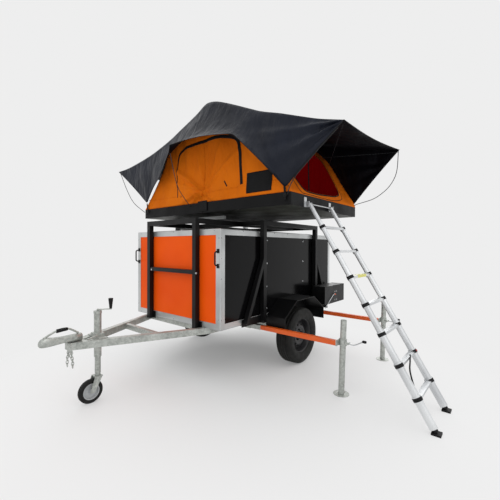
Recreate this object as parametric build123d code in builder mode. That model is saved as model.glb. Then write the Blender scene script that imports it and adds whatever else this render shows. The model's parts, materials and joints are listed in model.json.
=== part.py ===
from build123d import *
import os
from math import cos, radians, sin

os.makedirs("parts", exist_ok=True)

# Folding camper trailer: a load box of aluminium edge profile on a galvanised drawbar chassis,
# a black tube rack round it, and a soft roof tent that unfolds to the left.
# Millimetres. While it is drawn, x = 0 is the wheel axis (+X to the coupling), y = 0 the centre
# line (+Y to the ladder) and z = 0 the ground. At the end the origin goes to the middle of the
# footprint, on the ground.

# Load box
box_front = 1140
grip_low = 1160
grip_high = 1300
box_rear = -1110
box_half_width = 700
box_bottom = 556
box_top = 1510
edge_leg = 60
wall = 28
panel_recess = 4
edge_round = 9
door_gap = 5
pin_radius = 4
knuckle_radius = 8
pin_clearance = 0.4

# Chassis and drawbar
frame_height = 60
frame_width = 40
frame_half = 500
drawbar_root = 1100
ball_reach = 2350
ball_radius = 25.4
coupling_reach = 163
nose_radius = 40
socket_relief = 2.6
drawbar_tip = ball_reach - coupling_reach
drawbar_cross = drawbar_root + 0.3864 * (drawbar_tip - drawbar_root)

# Wheels and axle
tyre_radius = 318
tyre_width = 195
rim_radius = 190
half_track = 825
axle_beam_size = 80
axle_beam_ahead = 150
axle_beam_drop = 50
stub_radius = 22
stub_clearance = 0.3
drum_radius = 112

# Mudguards
guard_outer = 948
guard_half_length = 436
guard_half_top = 195
guard_top = 752
guard_shoulder = 590
guard_low = 452
guard_sheet = 4

# Tube rack
tube = 50
rack_top = 1620
front_post_y = frame_half - 110
front_post_x = box_front + 5 + tube / 2
side_post_front = 525
side_post_rear = -605
brace_front_foot = 812
brace_rear_foot = -905
brace_meet = 1225
h_bar_z = 1090
h_bar_size = 40
side_plate = 4
foot_sheet = 6

# Tool box behind the left mudguard
tool_front = -505
tool_rear = -1085
tool_low = 600
tool_high = 832
tool_depth = 175

# Stabiliser arms and prop legs on the left
arm_size = 45
arm_sleeve = 5
arm_clearance = 0.4
arm_places = {"front": 485, "rear": -690}
arm_inner = 60
leg_y = 1575
leg_back = 62
leg_radius = 27
leg_wall = 4
leg_top = 668
leg_lean = 4
foot_radius = 70
foot_thick = 6
clamp_thick = 7
clamp_height = 60

# Jockey wheel
jockey_back = 247
jockey_x = drawbar_tip - jockey_back
jockey_tube_radius = 30
jockey_stem_radius = 24
jockey_tube_low = 385
jockey_tube_high = 770
jockey_stem_depth = 180
lamp_edge = 50
lamp_width = 200
jockey_wheel_radius = 100
jockey_wheel_width = 50
jockey_trail = 62
fork_sheet = 6
fork_top = 222

# Roof tent
tent_front = 896
tent_rear = -554
tent_right = -940
tent_left = 1300
fold_y = 180
tray_low = 1706
tray_high = 1818
tray_sheet = 8
tray_floor = 26
tray_seam = 4
fold_lift = 4
hinge_plate = 4
hinge_overlap = 13
hinge_reach = 75
hinge_pin = 5
mattress = 58
soft_gap = 1
track_width = 44
track_height = 36
canvas_wall = 6
fly_sheet = 8
fly_stand = 22
ridge_z = 2868
fold_z = 2815
hoops_right = [(-180, 2668), (-790, 2491), (-1600, 2404)]
hoops_left = [(290, ridge_z), (632, 2744), (1203, 2503), (1785, 2300)]
eave_rise = 130
awning_reach = 222
awning_right = (-100, 2400)
awning_left = (845, 2345)
fly_corner_right = (-932, 1838)
fly_corner_left = (1260, 1852)
strap_width = 25
strap_low = 20
strap_lap = 30
walls_right = [(-583, 2216), (-417, 2486), (-180, 2640)]
walls_left = [(965, 2387), (766, 2603), (632, 2700), (290, ridge_z - 11.6)]
door_width = 960
door_height = 600
door_sill = 50
rod_radius = 4.5
rod_foot_drop = 30
rod_tip_drop = 44
rod_bow = 90

# Ladder on the tent's left edge
ladder_x = 400
ladder_foot_y = 2365
ladder_half_width = 215
ladder_top_out = 32
rung_count = 7
rail_radius_top = 19
rail_radius_step = 1.6
rung_width = 42
rung_height = 22

frame_bottom = box_bottom - frame_height
box_mid_x = (box_front + box_rear) / 2
box_mid_z = (box_bottom + box_top) / 2
box_length = box_front - box_rear
box_height = box_top - box_bottom
tent_mid_x = (tent_front + tent_rear) / 2
tray_depth = tent_front - tent_rear
pieces = []


def keep(piece, name):
    """Label a finished sub-part and hold it for export."""
    piece.part.label = name
    pieces.append(piece.part)


def block(low, high, mode=Mode.ADD):
    """A box between two corners, in the part that is being built."""
    size = [b - a for a, b in zip(low, high)]
    with Locations(tuple((a + b) / 2 for a, b in zip(low, high))):
        Box(*size, mode=mode)


def bar(start, end, width, height, up=(0, 0, 1)):
    """A rectangular bar from start to end: width across, height along up."""
    start, end = Vector(start), Vector(end)
    run = end - start
    across = Vector(up).cross(run)
    with BuildSketch(Plane(origin=start, x_dir=across, z_dir=run)) as section:
        Rectangle(width, height)
    extrude(section.sketch, amount=run.length)


def rod(start, end, radius, bore=0, mode=Mode.ADD):
    """A round bar or tube from start to end."""
    start, end = Vector(start), Vector(end)
    run = end - start
    with BuildSketch(Plane(origin=start, z_dir=run)) as section:
        Circle(radius)
        if bore:
            Circle(bore, mode=Mode.SUBTRACT)
    extrude(section.sketch, amount=run.length, mode=mode)


# Chassis: two long members, three cross members and the axle brackets
axle_beam_z = frame_bottom - axle_beam_drop - axle_beam_size / 2
with BuildPart() as chassis_frame:
    for y in (-frame_half, frame_half):
        block(
            (box_rear + 15, y - frame_width / 2, frame_bottom),
            (drawbar_root, y + frame_width / 2, box_bottom)
        )
    for x in (box_rear + 15 + frame_width / 2, axle_beam_ahead, drawbar_root - frame_width / 2):
        block(
            (x - frame_width / 2, -frame_half, frame_bottom), (x + frame_width / 2, frame_half, box_bottom)
        )
    for y in (-frame_half, frame_half):
        block(
            (axle_beam_ahead - 45, y - 15, frame_bottom - axle_beam_drop),
            (axle_beam_ahead + 45, y + 15, frame_bottom)
        )
keep(chassis_frame, "chassis_frame")

# Drawbar: two rails that meet under the coupling, with a cross member and a nose plate
tip_half = 42
throat_x = drawbar_tip - 130
throat_half = 16
root_inner = frame_half - frame_width / 2 - 4


def rail_inner(x):
    """Distance from the centre line to the inner side of a drawbar rail."""
    return throat_half + (throat_x - x) * (root_inner - throat_half) / (throat_x - drawbar_root)


with BuildPart() as drawbar_frame:
    with BuildSketch(Plane.XY.offset(frame_bottom)):
        with BuildLine():
            Polyline((drawbar_root, frame_half + frame_width / 2), (drawbar_tip - 30, tip_half),
                (drawbar_tip, tip_half),
                     (drawbar_tip, -tip_half), (drawbar_tip - 30, -tip_half),
                     (drawbar_root, -frame_half - frame_width / 2), close=True)
        make_face()
        with BuildLine():
            Polyline((drawbar_root - 1, rail_inner(drawbar_root - 1)), (throat_x, throat_half),
                (throat_x, -throat_half),
                     (drawbar_root - 1, -rail_inner(drawbar_root - 1)), close=True)
        make_face(mode=Mode.SUBTRACT)
    extrude(amount=frame_height)
    cross_reach = rail_inner(drawbar_cross) + 15
    block(
        (drawbar_cross - 20, -cross_reach, frame_bottom + 6),
        (drawbar_cross + 20, cross_reach, box_bottom - 6)
    )
keep(drawbar_frame, "drawbar_frame")

# Coupling head with its ball socket, and the handle over it
coupling_top = box_bottom + 74
socket_low = box_bottom + 8
with BuildPart() as coupling_head:
    block((drawbar_tip - 110, -38, box_bottom), (drawbar_tip - 10, 38, box_bottom + 8))
    block((drawbar_tip - 100, -28, box_bottom), (ball_reach - 20, 28, coupling_top - 14))
    fillet(coupling_head.edges().filter_by(Axis.X).group_by(Axis.Z)[-1], 14)
    with BuildSketch(Plane.XY.offset(socket_low)):
        with Locations((ball_reach, 0)):
            Circle(nose_radius)
    extrude(amount=coupling_top - socket_low)
    fillet(coupling_head.edges().filter_by(GeomType.CIRCLE).group_by(Axis.Z)[-1], 16)
    with BuildSketch(Plane.XY.offset(socket_low)):
        with Locations((ball_reach, 0)):
            Circle(ball_radius)
    extrude(amount=ball_radius, mode=Mode.SUBTRACT)
    rod((ball_reach, 0, socket_low + ball_radius), (ball_reach, 0, socket_low + 2 * ball_radius),
        ball_radius + socket_relief, mode=Mode.SUBTRACT)
    rod(
        (ball_reach, 0, box_bottom - 1), (ball_reach, 0, socket_low), ball_radius + socket_relief,
        mode=Mode.SUBTRACT
    )
keep(coupling_head, "coupling_head")

with BuildPart() as coupling_handle:
    block((ball_reach - 74, -13, coupling_top - 14), (ball_reach - 60, 13, coupling_top + 36))
    block((ball_reach - 190, -17, coupling_top + 32), (ball_reach - 56, 17, coupling_top + 54))
keep(coupling_handle, "coupling_handle")

# Safety chains: oval links, each turned a quarter from the last, hung beside the nose plate
link_wire = 4
link_round = 9
link_straight = 11
link_count = 5
link_pitch = 2 * (link_straight + link_round) - 2 * link_wire - 0.3
chain_x = drawbar_tip - 22
chain_y = tip_half + link_wire + link_round + 1
with BuildPart() as safety_chains:
    for side in (-1, 1):
        block(
            (chain_x - 6, side * (tip_half + 12) - 12, frame_bottom + 22),
            (chain_x + 6, side * (tip_half + 12) + 12, frame_bottom + 28)
        )
        for number in range(link_count):
            height = frame_bottom + 22 - link_straight - link_round - number * link_pitch
            turned = number % 2
            plane = Plane(
                origin=(chain_x, side * chain_y, height), x_dir=(0, 0, 1), z_dir=(1 - turned, turned, 0)
            )
            with BuildSketch(plane.offset(-link_wire)) as ring:
                SlotOverall(2 * (link_straight + link_round + link_wire), 2 * (link_round + link_wire))
                SlotOverall(
                    2 * (link_straight + link_round - link_wire), 2 * (link_round - link_wire),
                    mode=Mode.SUBTRACT
                )
            extrude(ring.sketch, amount=2 * link_wire)
keep(safety_chains, "safety_chains")

# Jockey wheel: clamp, outer tube with crank, stem and fork, rim and tyre
clamp_half = 35
rail_gap = rail_inner(jockey_x + clamp_half) - 0.5
with BuildPart() as jockey_clamp:
    with BuildSketch(Plane.XY.offset(box_bottom - 26)):
        with Locations((jockey_x, 0)):
            Circle(jockey_tube_radius + 9)
            Rectangle(2 * clamp_half, 2 * rail_gap)
            Circle(jockey_tube_radius, mode=Mode.SUBTRACT)
    extrude(amount=60)
    block(
        (jockey_x - 35, -rail_gap - 60, box_bottom),
        (jockey_x + 35, -jockey_tube_radius - 4, box_bottom + 8)
    )
    block(
        (jockey_x - 35, jockey_tube_radius + 4, box_bottom), (jockey_x + 35, rail_gap + 60, box_bottom + 8)
    )
    bar(
        (jockey_x + 20, rail_gap - 8, box_bottom + 22), (jockey_x + 118, rail_gap + 22, box_bottom + 12),
        12, 12
    )
keep(jockey_clamp, "jockey_clamp")

with BuildPart() as jockey_tube:
    rod(
        (jockey_x, 0, jockey_tube_low), (jockey_x, 0, jockey_tube_high), jockey_tube_radius,
        jockey_stem_radius + 1
    )
    rod((jockey_x, 0, jockey_tube_high - 12), (jockey_x, 0, jockey_tube_high + 10), jockey_tube_radius + 3)
    rod((jockey_x, 0, jockey_tube_high + 10), (jockey_x, 0, jockey_tube_high + 26), 9)
    bar((jockey_x, 0, jockey_tube_high + 20), (jockey_x - 95, 60, jockey_tube_high + 20), 20, 8)
    knob_base = (jockey_x - 88, 56, jockey_tube_high + 24)
    with BuildSketch(Plane(origin=knob_base, x_dir=(1, 0, 0), z_dir=(0, -1, 0))) as knob:
        with BuildLine():
            Polyline((0, 0), (9, 0), (9, 20), (16, 70), (13, 84), (0, 88), close=True)
        make_face()
    revolve(knob.sketch, axis=Axis(knob_base, (0, 0, 1)))
keep(jockey_tube, "jockey_tube")

jockey_axle_x = jockey_x + jockey_trail
with BuildPart() as jockey_stem:
    rod((jockey_x, 0, fork_top + 22), (jockey_x, 0, jockey_tube_high - jockey_stem_depth), jockey_stem_radius)
keep(jockey_stem, "jockey_stem")

fork_half = jockey_wheel_width / 2 + 7
with BuildPart() as jockey_fork:
    rod((jockey_x, 0, fork_top), (jockey_x, 0, fork_top + 21.7), jockey_stem_radius - 2)
    block(
        (jockey_x - 28, -fork_half - fork_sheet, fork_top - fork_sheet),
        (jockey_x + 36, fork_half + fork_sheet, fork_top)
    )
    for side in (-1, 1):
        inner = side * fork_half if side > 0 else side * fork_half - fork_sheet
        with BuildSketch(Plane.XZ.offset(-inner - fork_sheet)):
            with BuildLine():
                Polyline((jockey_x - 28, fork_top), (jockey_x + 36, fork_top),
                         (jockey_axle_x + 18, jockey_wheel_radius - 2),
                         (jockey_axle_x - 18, jockey_wheel_radius - 12), close=True)
            make_face()
        extrude(amount=fork_sheet)
    rod(
        (jockey_axle_x, -fork_half - fork_sheet - 4, jockey_wheel_radius),
        (jockey_axle_x, fork_half + fork_sheet + 4, jockey_wheel_radius), 7
    )
keep(jockey_fork, "jockey_fork")

jockey_bead = 68


def wheel_section(rings, x, y, z):
    """Revolve a half section, given as (radius, offset from the middle plane), about a Y axis."""
    with BuildSketch(Plane(origin=(x, y, z), x_dir=(0, 0, 1), z_dir=(-1, 0, 0))) as section:
        with BuildLine():
            Polyline(*rings, close=True)
        make_face()
    revolve(section.sketch, axis=Axis((x, y, z), (0, 1, 0)))


half = jockey_wheel_width / 2
with BuildPart() as jockey_rim:
    wheel_section([(7.5, half + 3), (16, half + 3), (18, 5), (jockey_bead - 12, 4),
        (jockey_bead - 8, half - 5), (jockey_bead, half - 5),
                   (jockey_bead, 5 - half), (jockey_bead - 8, 5 - half), (jockey_bead - 12, -4),
                   (18, -5), (16, -half - 3),
                   (7.5, -half - 3)], jockey_axle_x, 0, jockey_wheel_radius)
keep(jockey_rim, "jockey_rim")

with BuildPart() as jockey_tyre:
    wheel_section([(jockey_bead, half - 5), (jockey_bead + 8, half),
        (jockey_wheel_radius - 8, half - 2), (jockey_wheel_radius, half - 12),
                   (jockey_wheel_radius, 12 - half), (jockey_wheel_radius - 8, 2 - half),
                   (jockey_bead + 8, -half), (jockey_bead, 5 - half)],
                  jockey_axle_x, 0, jockey_wheel_radius)
keep(jockey_tyre, "jockey_tyre")

# Torsion axle: square beam, trailing arms, backing plates and stub axles
arm_plate_y = 655
disc_out = 34
with BuildPart() as axle_beam:
    with Locations((axle_beam_ahead, 0, axle_beam_z)):
        Box(axle_beam_size, 2 * arm_plate_y - 34, axle_beam_size)
    for side in (-1, 1):
        bar(
            (axle_beam_ahead + 20, side * arm_plate_y, axle_beam_z + 6),
            (-24, side * arm_plate_y, tyre_radius - 4), 34, 76
        )
        rod(
            (0, side * (arm_plate_y - 16), tyre_radius),
            (0, side * (half_track + disc_out - 17), tyre_radius), stub_radius
        )
        rod(
            (0, side * (arm_plate_y + 16), tyre_radius), (0, side * (arm_plate_y + 22), tyre_radius),
            drum_radius + 8
        )
keep(axle_beam, "axle_beam")

# Road wheels: steel disc rim with drum and hub cap, and a tyre
drum_inner = arm_plate_y + 28 - half_track
rim_wall = 6
flange = 12
bead = tyre_width / 2 - 22
vent_count = 12
for name, side in (("left", 1), ("right", -1)):
    y = side * half_track
    with BuildPart() as rim:
        wheel_section([(rim_radius + flange - 4, side * (bead + rim_wall)),
            (rim_radius - rim_wall, side * (bead + rim_wall)),
                       (
                           rim_radius - rim_wall - 18, side * (disc_out + 14)
                       ), (rim_radius - 60, side * (disc_out + 22)),
                       (72, side * (disc_out - 2)), (30, side * (disc_out - 2)),
                       (27, side * (disc_out + 30)), (0, side * (disc_out + 34)),
                       (0, side * (disc_out - 16)), (
                           stub_radius + stub_clearance, side * (disc_out - 16)
                       ), (stub_radius + stub_clearance, -side * 30),
                       (36, -side * 30), (36, side * (disc_out - 16)), (
                           drum_radius - 8, side * (disc_out - 16)
                       ), (drum_radius - 8, side * drum_inner),
                       (drum_radius, side * drum_inner), (drum_radius, side * (disc_out - 9)), (
                           rim_radius - 60, side * (disc_out + 14)
                       ),
                       (
                           rim_radius - rim_wall - 24, side * (disc_out + 6)
                       ), (rim_radius - rim_wall - 22, -side * 20),
                       (rim_radius - rim_wall, -side * (bead - 10)), (
                           rim_radius - rim_wall, -side * (bead + rim_wall)
                       ),
                       (
                           rim_radius + flange - 4, -side * (bead + rim_wall)
                       ), (rim_radius + flange - 4, -side * bead),
                       (rim_radius, -side * bead), (rim_radius, -side * (bead - 30)), (
                           rim_radius - 16, -side * (bead - 42)
                       ),
                       (
                           rim_radius - 16, side * (bead - 42)
                       ), (rim_radius, side * (bead - 30)), (rim_radius, side * bead),
                       (rim_radius + flange - 4, side * bead)], 0, y, tyre_radius)
        with Locations(Plane(origin=(0, y + side * 80, tyre_radius), z_dir=(0, side, 0))):
            with PolarLocations(rim_radius - 44, vent_count):
                Cylinder(11, 140, mode=Mode.SUBTRACT)
    keep(rim, f"rim_{name}")
    section_half = tyre_width / 2
    with BuildPart() as tyre:
        wheel_section([(rim_radius + 0.3, side * (bead - 0.3)),
            (rim_radius + flange - 3, side * (bead - 0.3)),
                       (rim_radius + flange + 8, side * (bead + 8)), (rim_radius + 62, side * section_half),
                       (tyre_radius - 34, side * (section_half - 4)), (
                           tyre_radius - 10, side * (section_half - 18)
                       ),
                       (tyre_radius, side * (section_half - 42)), (
                           tyre_radius, -side * (section_half - 42)
                       ),
                       (
                           tyre_radius - 10, -side * (section_half - 18)
                       ), (tyre_radius - 34, -side * (section_half - 4)),
                       (rim_radius + 62, -side * section_half), (
                           rim_radius + flange + 8, -side * (bead + 8)
                       ),
                       (
                           rim_radius + flange - 3, -side * (bead - 0.3)
                       ), (rim_radius + 0.3, -side * (bead - 0.3)),
                       (rim_radius + 14, -side * (bead - 14)), (
                           tyre_radius - 26, -side * (section_half - 22)
                       ),
                       (
                           tyre_radius - 14, -side * (section_half - 40)
                       ), (tyre_radius - 14, side * (section_half - 40)),
                       (tyre_radius - 26, side * (section_half - 22)),
                       (rim_radius + 14, side * (bead - 14))], 0, y, tyre_radius)
    keep(tyre, f"tyre_{name}")

# Mudguards: one folded sheet over each wheel
guard_line = [(guard_half_length, guard_low), (guard_half_length, guard_shoulder),
    (guard_half_top, guard_top), (-guard_half_top, guard_top),
              (-guard_half_length, guard_shoulder), (-guard_half_length, guard_low)]
for name, side in (("left", 1), ("right", -1)):
    with BuildPart() as mudguard:
        with BuildSketch(Plane.XZ.offset(-side * box_half_width)):
            with BuildLine():
                Polyline(*guard_line, close=True)
            make_face()
            offset(amount=-guard_sheet, mode=Mode.SUBTRACT)
            with Locations((0, guard_low)):
                Rectangle(2 * (guard_half_length - guard_sheet), 3 * guard_sheet, mode=Mode.SUBTRACT)
        extrude(amount=-side * (guard_outer - box_half_width))
    keep(mudguard, f"mudguard_{name}")

# Load box: edge profile as a cage, then the panels that fill it
with BuildPart() as box_frame:
    with Locations((box_mid_x, 0, box_mid_z)):
        Box(box_length, 2 * box_half_width, box_height)
        fillet(box_frame.edges(), edge_round)
        Box(box_length - 2 * wall, 2 * (box_half_width - wall), box_height - 2 * wall, mode=Mode.SUBTRACT)
        Box(box_length + 2, 2 * (box_half_width - edge_leg), box_height - 2 * edge_leg, mode=Mode.SUBTRACT)
        Box(
            box_length - 2 * edge_leg, 2 * box_half_width + 2, box_height - 2 * edge_leg, mode=Mode.SUBTRACT
        )
        Box(box_length - 2 * edge_leg, 2 * (box_half_width - edge_leg), box_height + 2, mode=Mode.SUBTRACT)
keep(box_frame, "box_frame")

panel_low = box_bottom + edge_leg
panel_high = box_top - edge_leg
panel_half = box_half_width - edge_leg
panel_thick = wall - panel_recess
with BuildPart() as panel_front:
    block((box_front - wall, -panel_half, panel_low), (box_front - panel_recess, panel_half, panel_high))
keep(panel_front, "panel_front")

for name, side in (("left", 1), ("right", -1)):
    near, far = sorted((side * (box_half_width - wall), side * (box_half_width - panel_recess)))
    with BuildPart() as panel_side:
        block((box_rear + edge_leg, near, panel_low), (box_front - edge_leg, far, panel_high))
    keep(panel_side, f"panel_{name}")

for name, low in (("floor", box_bottom + panel_recess), ("roof", box_top - wall)):
    with BuildPart() as panel_flat:
        block(
            (box_rear + edge_leg, -panel_half, low), (box_front - edge_leg, panel_half, low + panel_thick)
        )
    keep(panel_flat, f"panel_{name}")

# Rear doors: two leaves, each on three hinges, with a locking bar
hinge_x = box_rear - knuckle_radius - 2
hinge_y = panel_half + 6
hinge_heights = [panel_low + 90, box_mid_z, panel_high - 90]
hinge_part = 26
for name, side in (("left", 1), ("right", -1)):
    edge, middle = side * (panel_half - door_gap), side * door_gap / 2
    near, far = sorted((edge, middle))
    with BuildPart() as door:
        block(
            (box_rear + panel_recess, near, panel_low + door_gap),
            (box_rear + wall, far, panel_high - door_gap)
        )
        for z in hinge_heights:
            rod(
                (hinge_x, side * hinge_y, z - hinge_part / 2),
                (hinge_x, side * hinge_y, z + hinge_part / 2), knuckle_radius
            )
            bar((hinge_x, side * hinge_y, z), (hinge_x, side * (panel_half - 60), z), 4, hinge_part)
            strap_in, strap_out = sorted((side * (panel_half - 60), side * (panel_half - 12)))
            block(
                (hinge_x - 2, strap_in, z - hinge_part / 2),
                (box_rear + panel_recess, strap_out, z + hinge_part / 2)
            )
            rod((hinge_x, side * hinge_y, z - hinge_part / 2 - 1),
                (hinge_x, side * hinge_y, z + hinge_part / 2 + 1),
                pin_radius + pin_clearance, mode=Mode.SUBTRACT)
        lock_y = side * 70
        rod((box_rear - 14, lock_y, panel_low + 20), (box_rear - 14, lock_y, panel_high - 20), 9)
        for z in (panel_low + 60, box_mid_z, panel_high - 60):
            block((box_rear - 18, lock_y - 22, z - 16), (box_rear + panel_recess, lock_y + 22, z + 16))
        bar(
            (box_rear - 14, lock_y, box_mid_z - 60), (box_rear - 30, lock_y + side * 150, box_mid_z - 60),
            10, 24
        )
    keep(door, f"door_{name}")

with BuildPart() as door_hinges:
    for side in (1, -1):
        for z in hinge_heights:
            rod(
                (hinge_x, side * hinge_y, z - 1.5 * hinge_part - 1),
                (hinge_x, side * hinge_y, z + 1.5 * hinge_part + 1), pin_radius
            )
            for step in (-1, 1):
                centre = z + step * (hinge_part + 1)
                rod(
                    (hinge_x, side * hinge_y, centre - hinge_part / 2),
                    (hinge_x, side * hinge_y, centre + hinge_part / 2), knuckle_radius
                )
                low_y, high_y = sorted((side * hinge_y, side * (box_half_width - 8)))
                block(
                    (hinge_x + 2, low_y, centre - hinge_part / 2),
                    (box_rear, high_y, centre + hinge_part / 2)
                )
keep(door_hinges, "door_hinges")

# Grab handles on the front edge profile
with BuildPart() as grab_handles:
    for side in (-1, 1):
        y = side * (box_half_width - edge_leg / 2)
        for z in (grip_low, grip_high):
            block((box_front, y - 14, z - 20), (box_front + 6, y + 14, z + 20))
        with BuildLine() as grip:
            FilletPolyline((box_front + 3, y, grip_low), (box_front + 42, y, grip_low + 12),
                           (box_front + 42, y, grip_high - 12), (box_front + 3, y, grip_high), radius=18)
        with BuildSketch(Plane(origin=grip.wire() @ 0, z_dir=grip.wire() % 0)) as round_bar:
            Circle(7)
        sweep(round_bar.sketch, path=grip.wire())
keep(grab_handles, "grab_handles")

# Front rack: two posts, the bar between them and their feet
post_low = frame_bottom + 40
with BuildPart() as rack_front:
    for side in (-1, 1):
        block(
            (front_post_x - tube / 2, side * front_post_y - tube / 2, post_low),
            (front_post_x + tube / 2, side * front_post_y + tube / 2, rack_top - tube)
        )
        block(
            (box_front, side * front_post_y - 60, post_low),
            (box_front + foot_sheet, side * front_post_y + 60, panel_low - 8)
        )
        block(
            (box_front, side * front_post_y - 22, h_bar_z - 45),
            (front_post_x - tube / 2, side * front_post_y + 22, h_bar_z + 45)
        )
    block(
        (front_post_x - h_bar_size / 2, -front_post_y, h_bar_z - h_bar_size / 2),
        (front_post_x + h_bar_size / 2, front_post_y, h_bar_z + h_bar_size / 2)
    )
keep(rack_front, "rack_front")

# Side racks: two posts under a rail, two leaning braces and the feet
rack_gap = 5
side_rack_y = box_half_width + rack_gap + tube / 2
foot_low = box_bottom - 20
for name, side in (("left", 1), ("right", -1)):
    y = side * side_rack_y
    with BuildPart() as rack_side:
        for x, foot in ((side_post_front, brace_front_foot), (side_post_rear, brace_rear_foot)):
            block((x - tube / 2, y - tube / 2, foot_low), (x + tube / 2, y + tube / 2, rack_top - tube))
            lean = (foot - x) / (brace_meet - foot_low)
            bar((foot, y, foot_low + 30), (x, y, brace_meet), tube, 40, up=(1, 0, lean))
            foot_near, foot_far = sorted((foot, x))
            plate_near, plate_far = sorted((side * box_half_width, y - side * tube / 2))
            block((foot_near - 30, plate_near, foot_low), (foot_far + 30, plate_far, box_bottom + 54))
        block(
            (side_post_rear - tube / 2, y - tube / 2, rack_top - tube),
            (side_post_front + tube / 2, y + tube / 2, rack_top)
        )
    keep(rack_side, f"rack_{name}")
    near, far = sorted(
        (side * (box_half_width - panel_recess), side * (box_half_width - panel_recess + side_plate))
    )
    with BuildPart() as plate_side:
        block((side_post_rear + 45, near, panel_low + 22), (side_post_front - 5, far, panel_high - 18))
    keep(plate_side, f"plate_{name}")

# Top of the rack: cross tubes, the two long tubes over the front posts, and the tent tracks
cross_half = side_rack_y - tube / 2
with BuildPart() as rack_beams:
    for x in (side_post_front, side_post_rear):
        block((x - tube / 2, -cross_half, rack_top - tube), (x + tube / 2, cross_half, rack_top))
    for side in (-1, 1):
        block(
            (side_post_rear, side * front_post_y - tube / 2, rack_top - tube),
            (front_post_x + tube / 2, side * front_post_y + tube / 2, rack_top)
        )
    block(
        (front_post_x - tube / 2, -front_post_y, rack_top - tube),
        (front_post_x + tube / 2, front_post_y, rack_top)
    )
keep(rack_beams, "rack_beams")

track_high = tray_low
with BuildPart() as tent_tracks:
    for x in (side_post_front, side_post_rear + 120):
        block(
            (x - track_width / 2, tent_right + 40, track_high - track_height),
            (x + track_width / 2, fold_y - 30, track_high)
        )
        for y in (-side_rack_y, -front_post_y):
            block((x - 30, y - tube / 2, rack_top), (x + 30, y + tube / 2, track_high - track_height))
keep(tent_tracks, "tent_tracks")

# Tool box on the rear of the left rack, with its latch rod
tool_y = side_rack_y + tube / 2
with BuildPart() as tool_box:
    block((tool_rear, tool_y, tool_low), (tool_front, tool_y + tool_depth, tool_high))
    fillet(tool_box.edges().filter_by(Axis.Y), 12)
keep(tool_box, "tool_box")

# Rear light bar and lamps
with BuildPart() as light_bar:
    block(
        (box_rear - 2, -box_half_width + 30, frame_bottom - 50),
        (box_rear + 2, box_half_width - 30, frame_bottom + 40)
    )
    for y in (-frame_half, frame_half):
        block((box_rear + 2, y - 18, frame_bottom), (box_rear + 15, y + 18, frame_bottom + 40))
keep(light_bar, "light_bar")
with BuildPart() as rear_lamps:
    for side in (-1, 1):
        low_y, high_y = sorted((side * (box_half_width - lamp_edge), side * (box_half_width - lamp_edge - lamp_width)))
        block((box_rear - 44, low_y, frame_bottom - 42), (box_rear - 2, high_y, frame_bottom + 32))
    fillet(rear_lamps.edges().filter_by(Axis.X), 16)
keep(rear_lamps, "rear_lamps")

# Stabiliser arms in their sleeves, with clamps and prop legs
sleeve_half = arm_size / 2 + arm_clearance + arm_sleeve
arm_z = frame_bottom - sleeve_half
arm_outer = leg_y - leg_radius - clamp_thick - 1
with BuildPart() as arm_guides:
    for x in arm_places.values():
        with BuildSketch(Plane.XZ.offset(frame_half + 40)) as sleeve:
            with Locations((x, arm_z)):
                Rectangle(2 * sleeve_half, 2 * sleeve_half)
                Rectangle(arm_size + 2 * arm_clearance, arm_size + 2 * arm_clearance, mode=Mode.SUBTRACT)
        extrude(sleeve.sketch, amount=-2 * (frame_half + 40))
keep(arm_guides, "arm_guides")
for name, x in arm_places.items():
    with BuildPart() as arm:
        block(
            (x - arm_size / 2, arm_inner, arm_z - arm_size / 2),
            (x + arm_size / 2, arm_outer, arm_z + arm_size / 2)
        )
        fillet(arm.edges().filter_by(Axis.Y), 4)
    keep(arm, f"arm_{name}")
    leg_x = x - leg_back
    lean = sin(radians(leg_lean))
    upright = cos(radians(leg_lean))
    axis = Vector(-lean, 0, upright)
    middle = Vector(leg_x, leg_y, arm_z)
    with BuildPart() as clamp:
        rod(
            middle - axis * (clamp_height / 2), middle + axis * (clamp_height / 2),
            leg_radius + clamp_thick + 0.5, leg_radius + 0.5
        )
        block((leg_x - 6, arm_outer, arm_z - 25), (x + arm_size / 2, arm_outer + 8, arm_z + 25))
        bar(
            (leg_x + 20, leg_y + leg_radius + 4, arm_z), (leg_x + 20, leg_y + leg_radius + 40, arm_z), 30,
            14
        )
        rod((leg_x - 10, leg_y + leg_radius + 32, arm_z), (leg_x + 76, leg_y + leg_radius + 32, arm_z), 6)
        rod((middle - axis * 31), (middle + axis * 31), leg_radius + 0.5, mode=Mode.SUBTRACT)
    keep(clamp, f"leg_clamp_{name}")
    foot = middle - axis * ((arm_z - foot_thick) / upright)
    with BuildPart() as leg:
        rod(foot, (middle + axis * ((leg_top - arm_z) / upright)), leg_radius, leg_radius - leg_wall)
        rod((foot.X, foot.Y, 0), (foot.X, foot.Y, foot_thick), foot_radius)
    keep(leg, f"leg_{name}")

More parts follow.
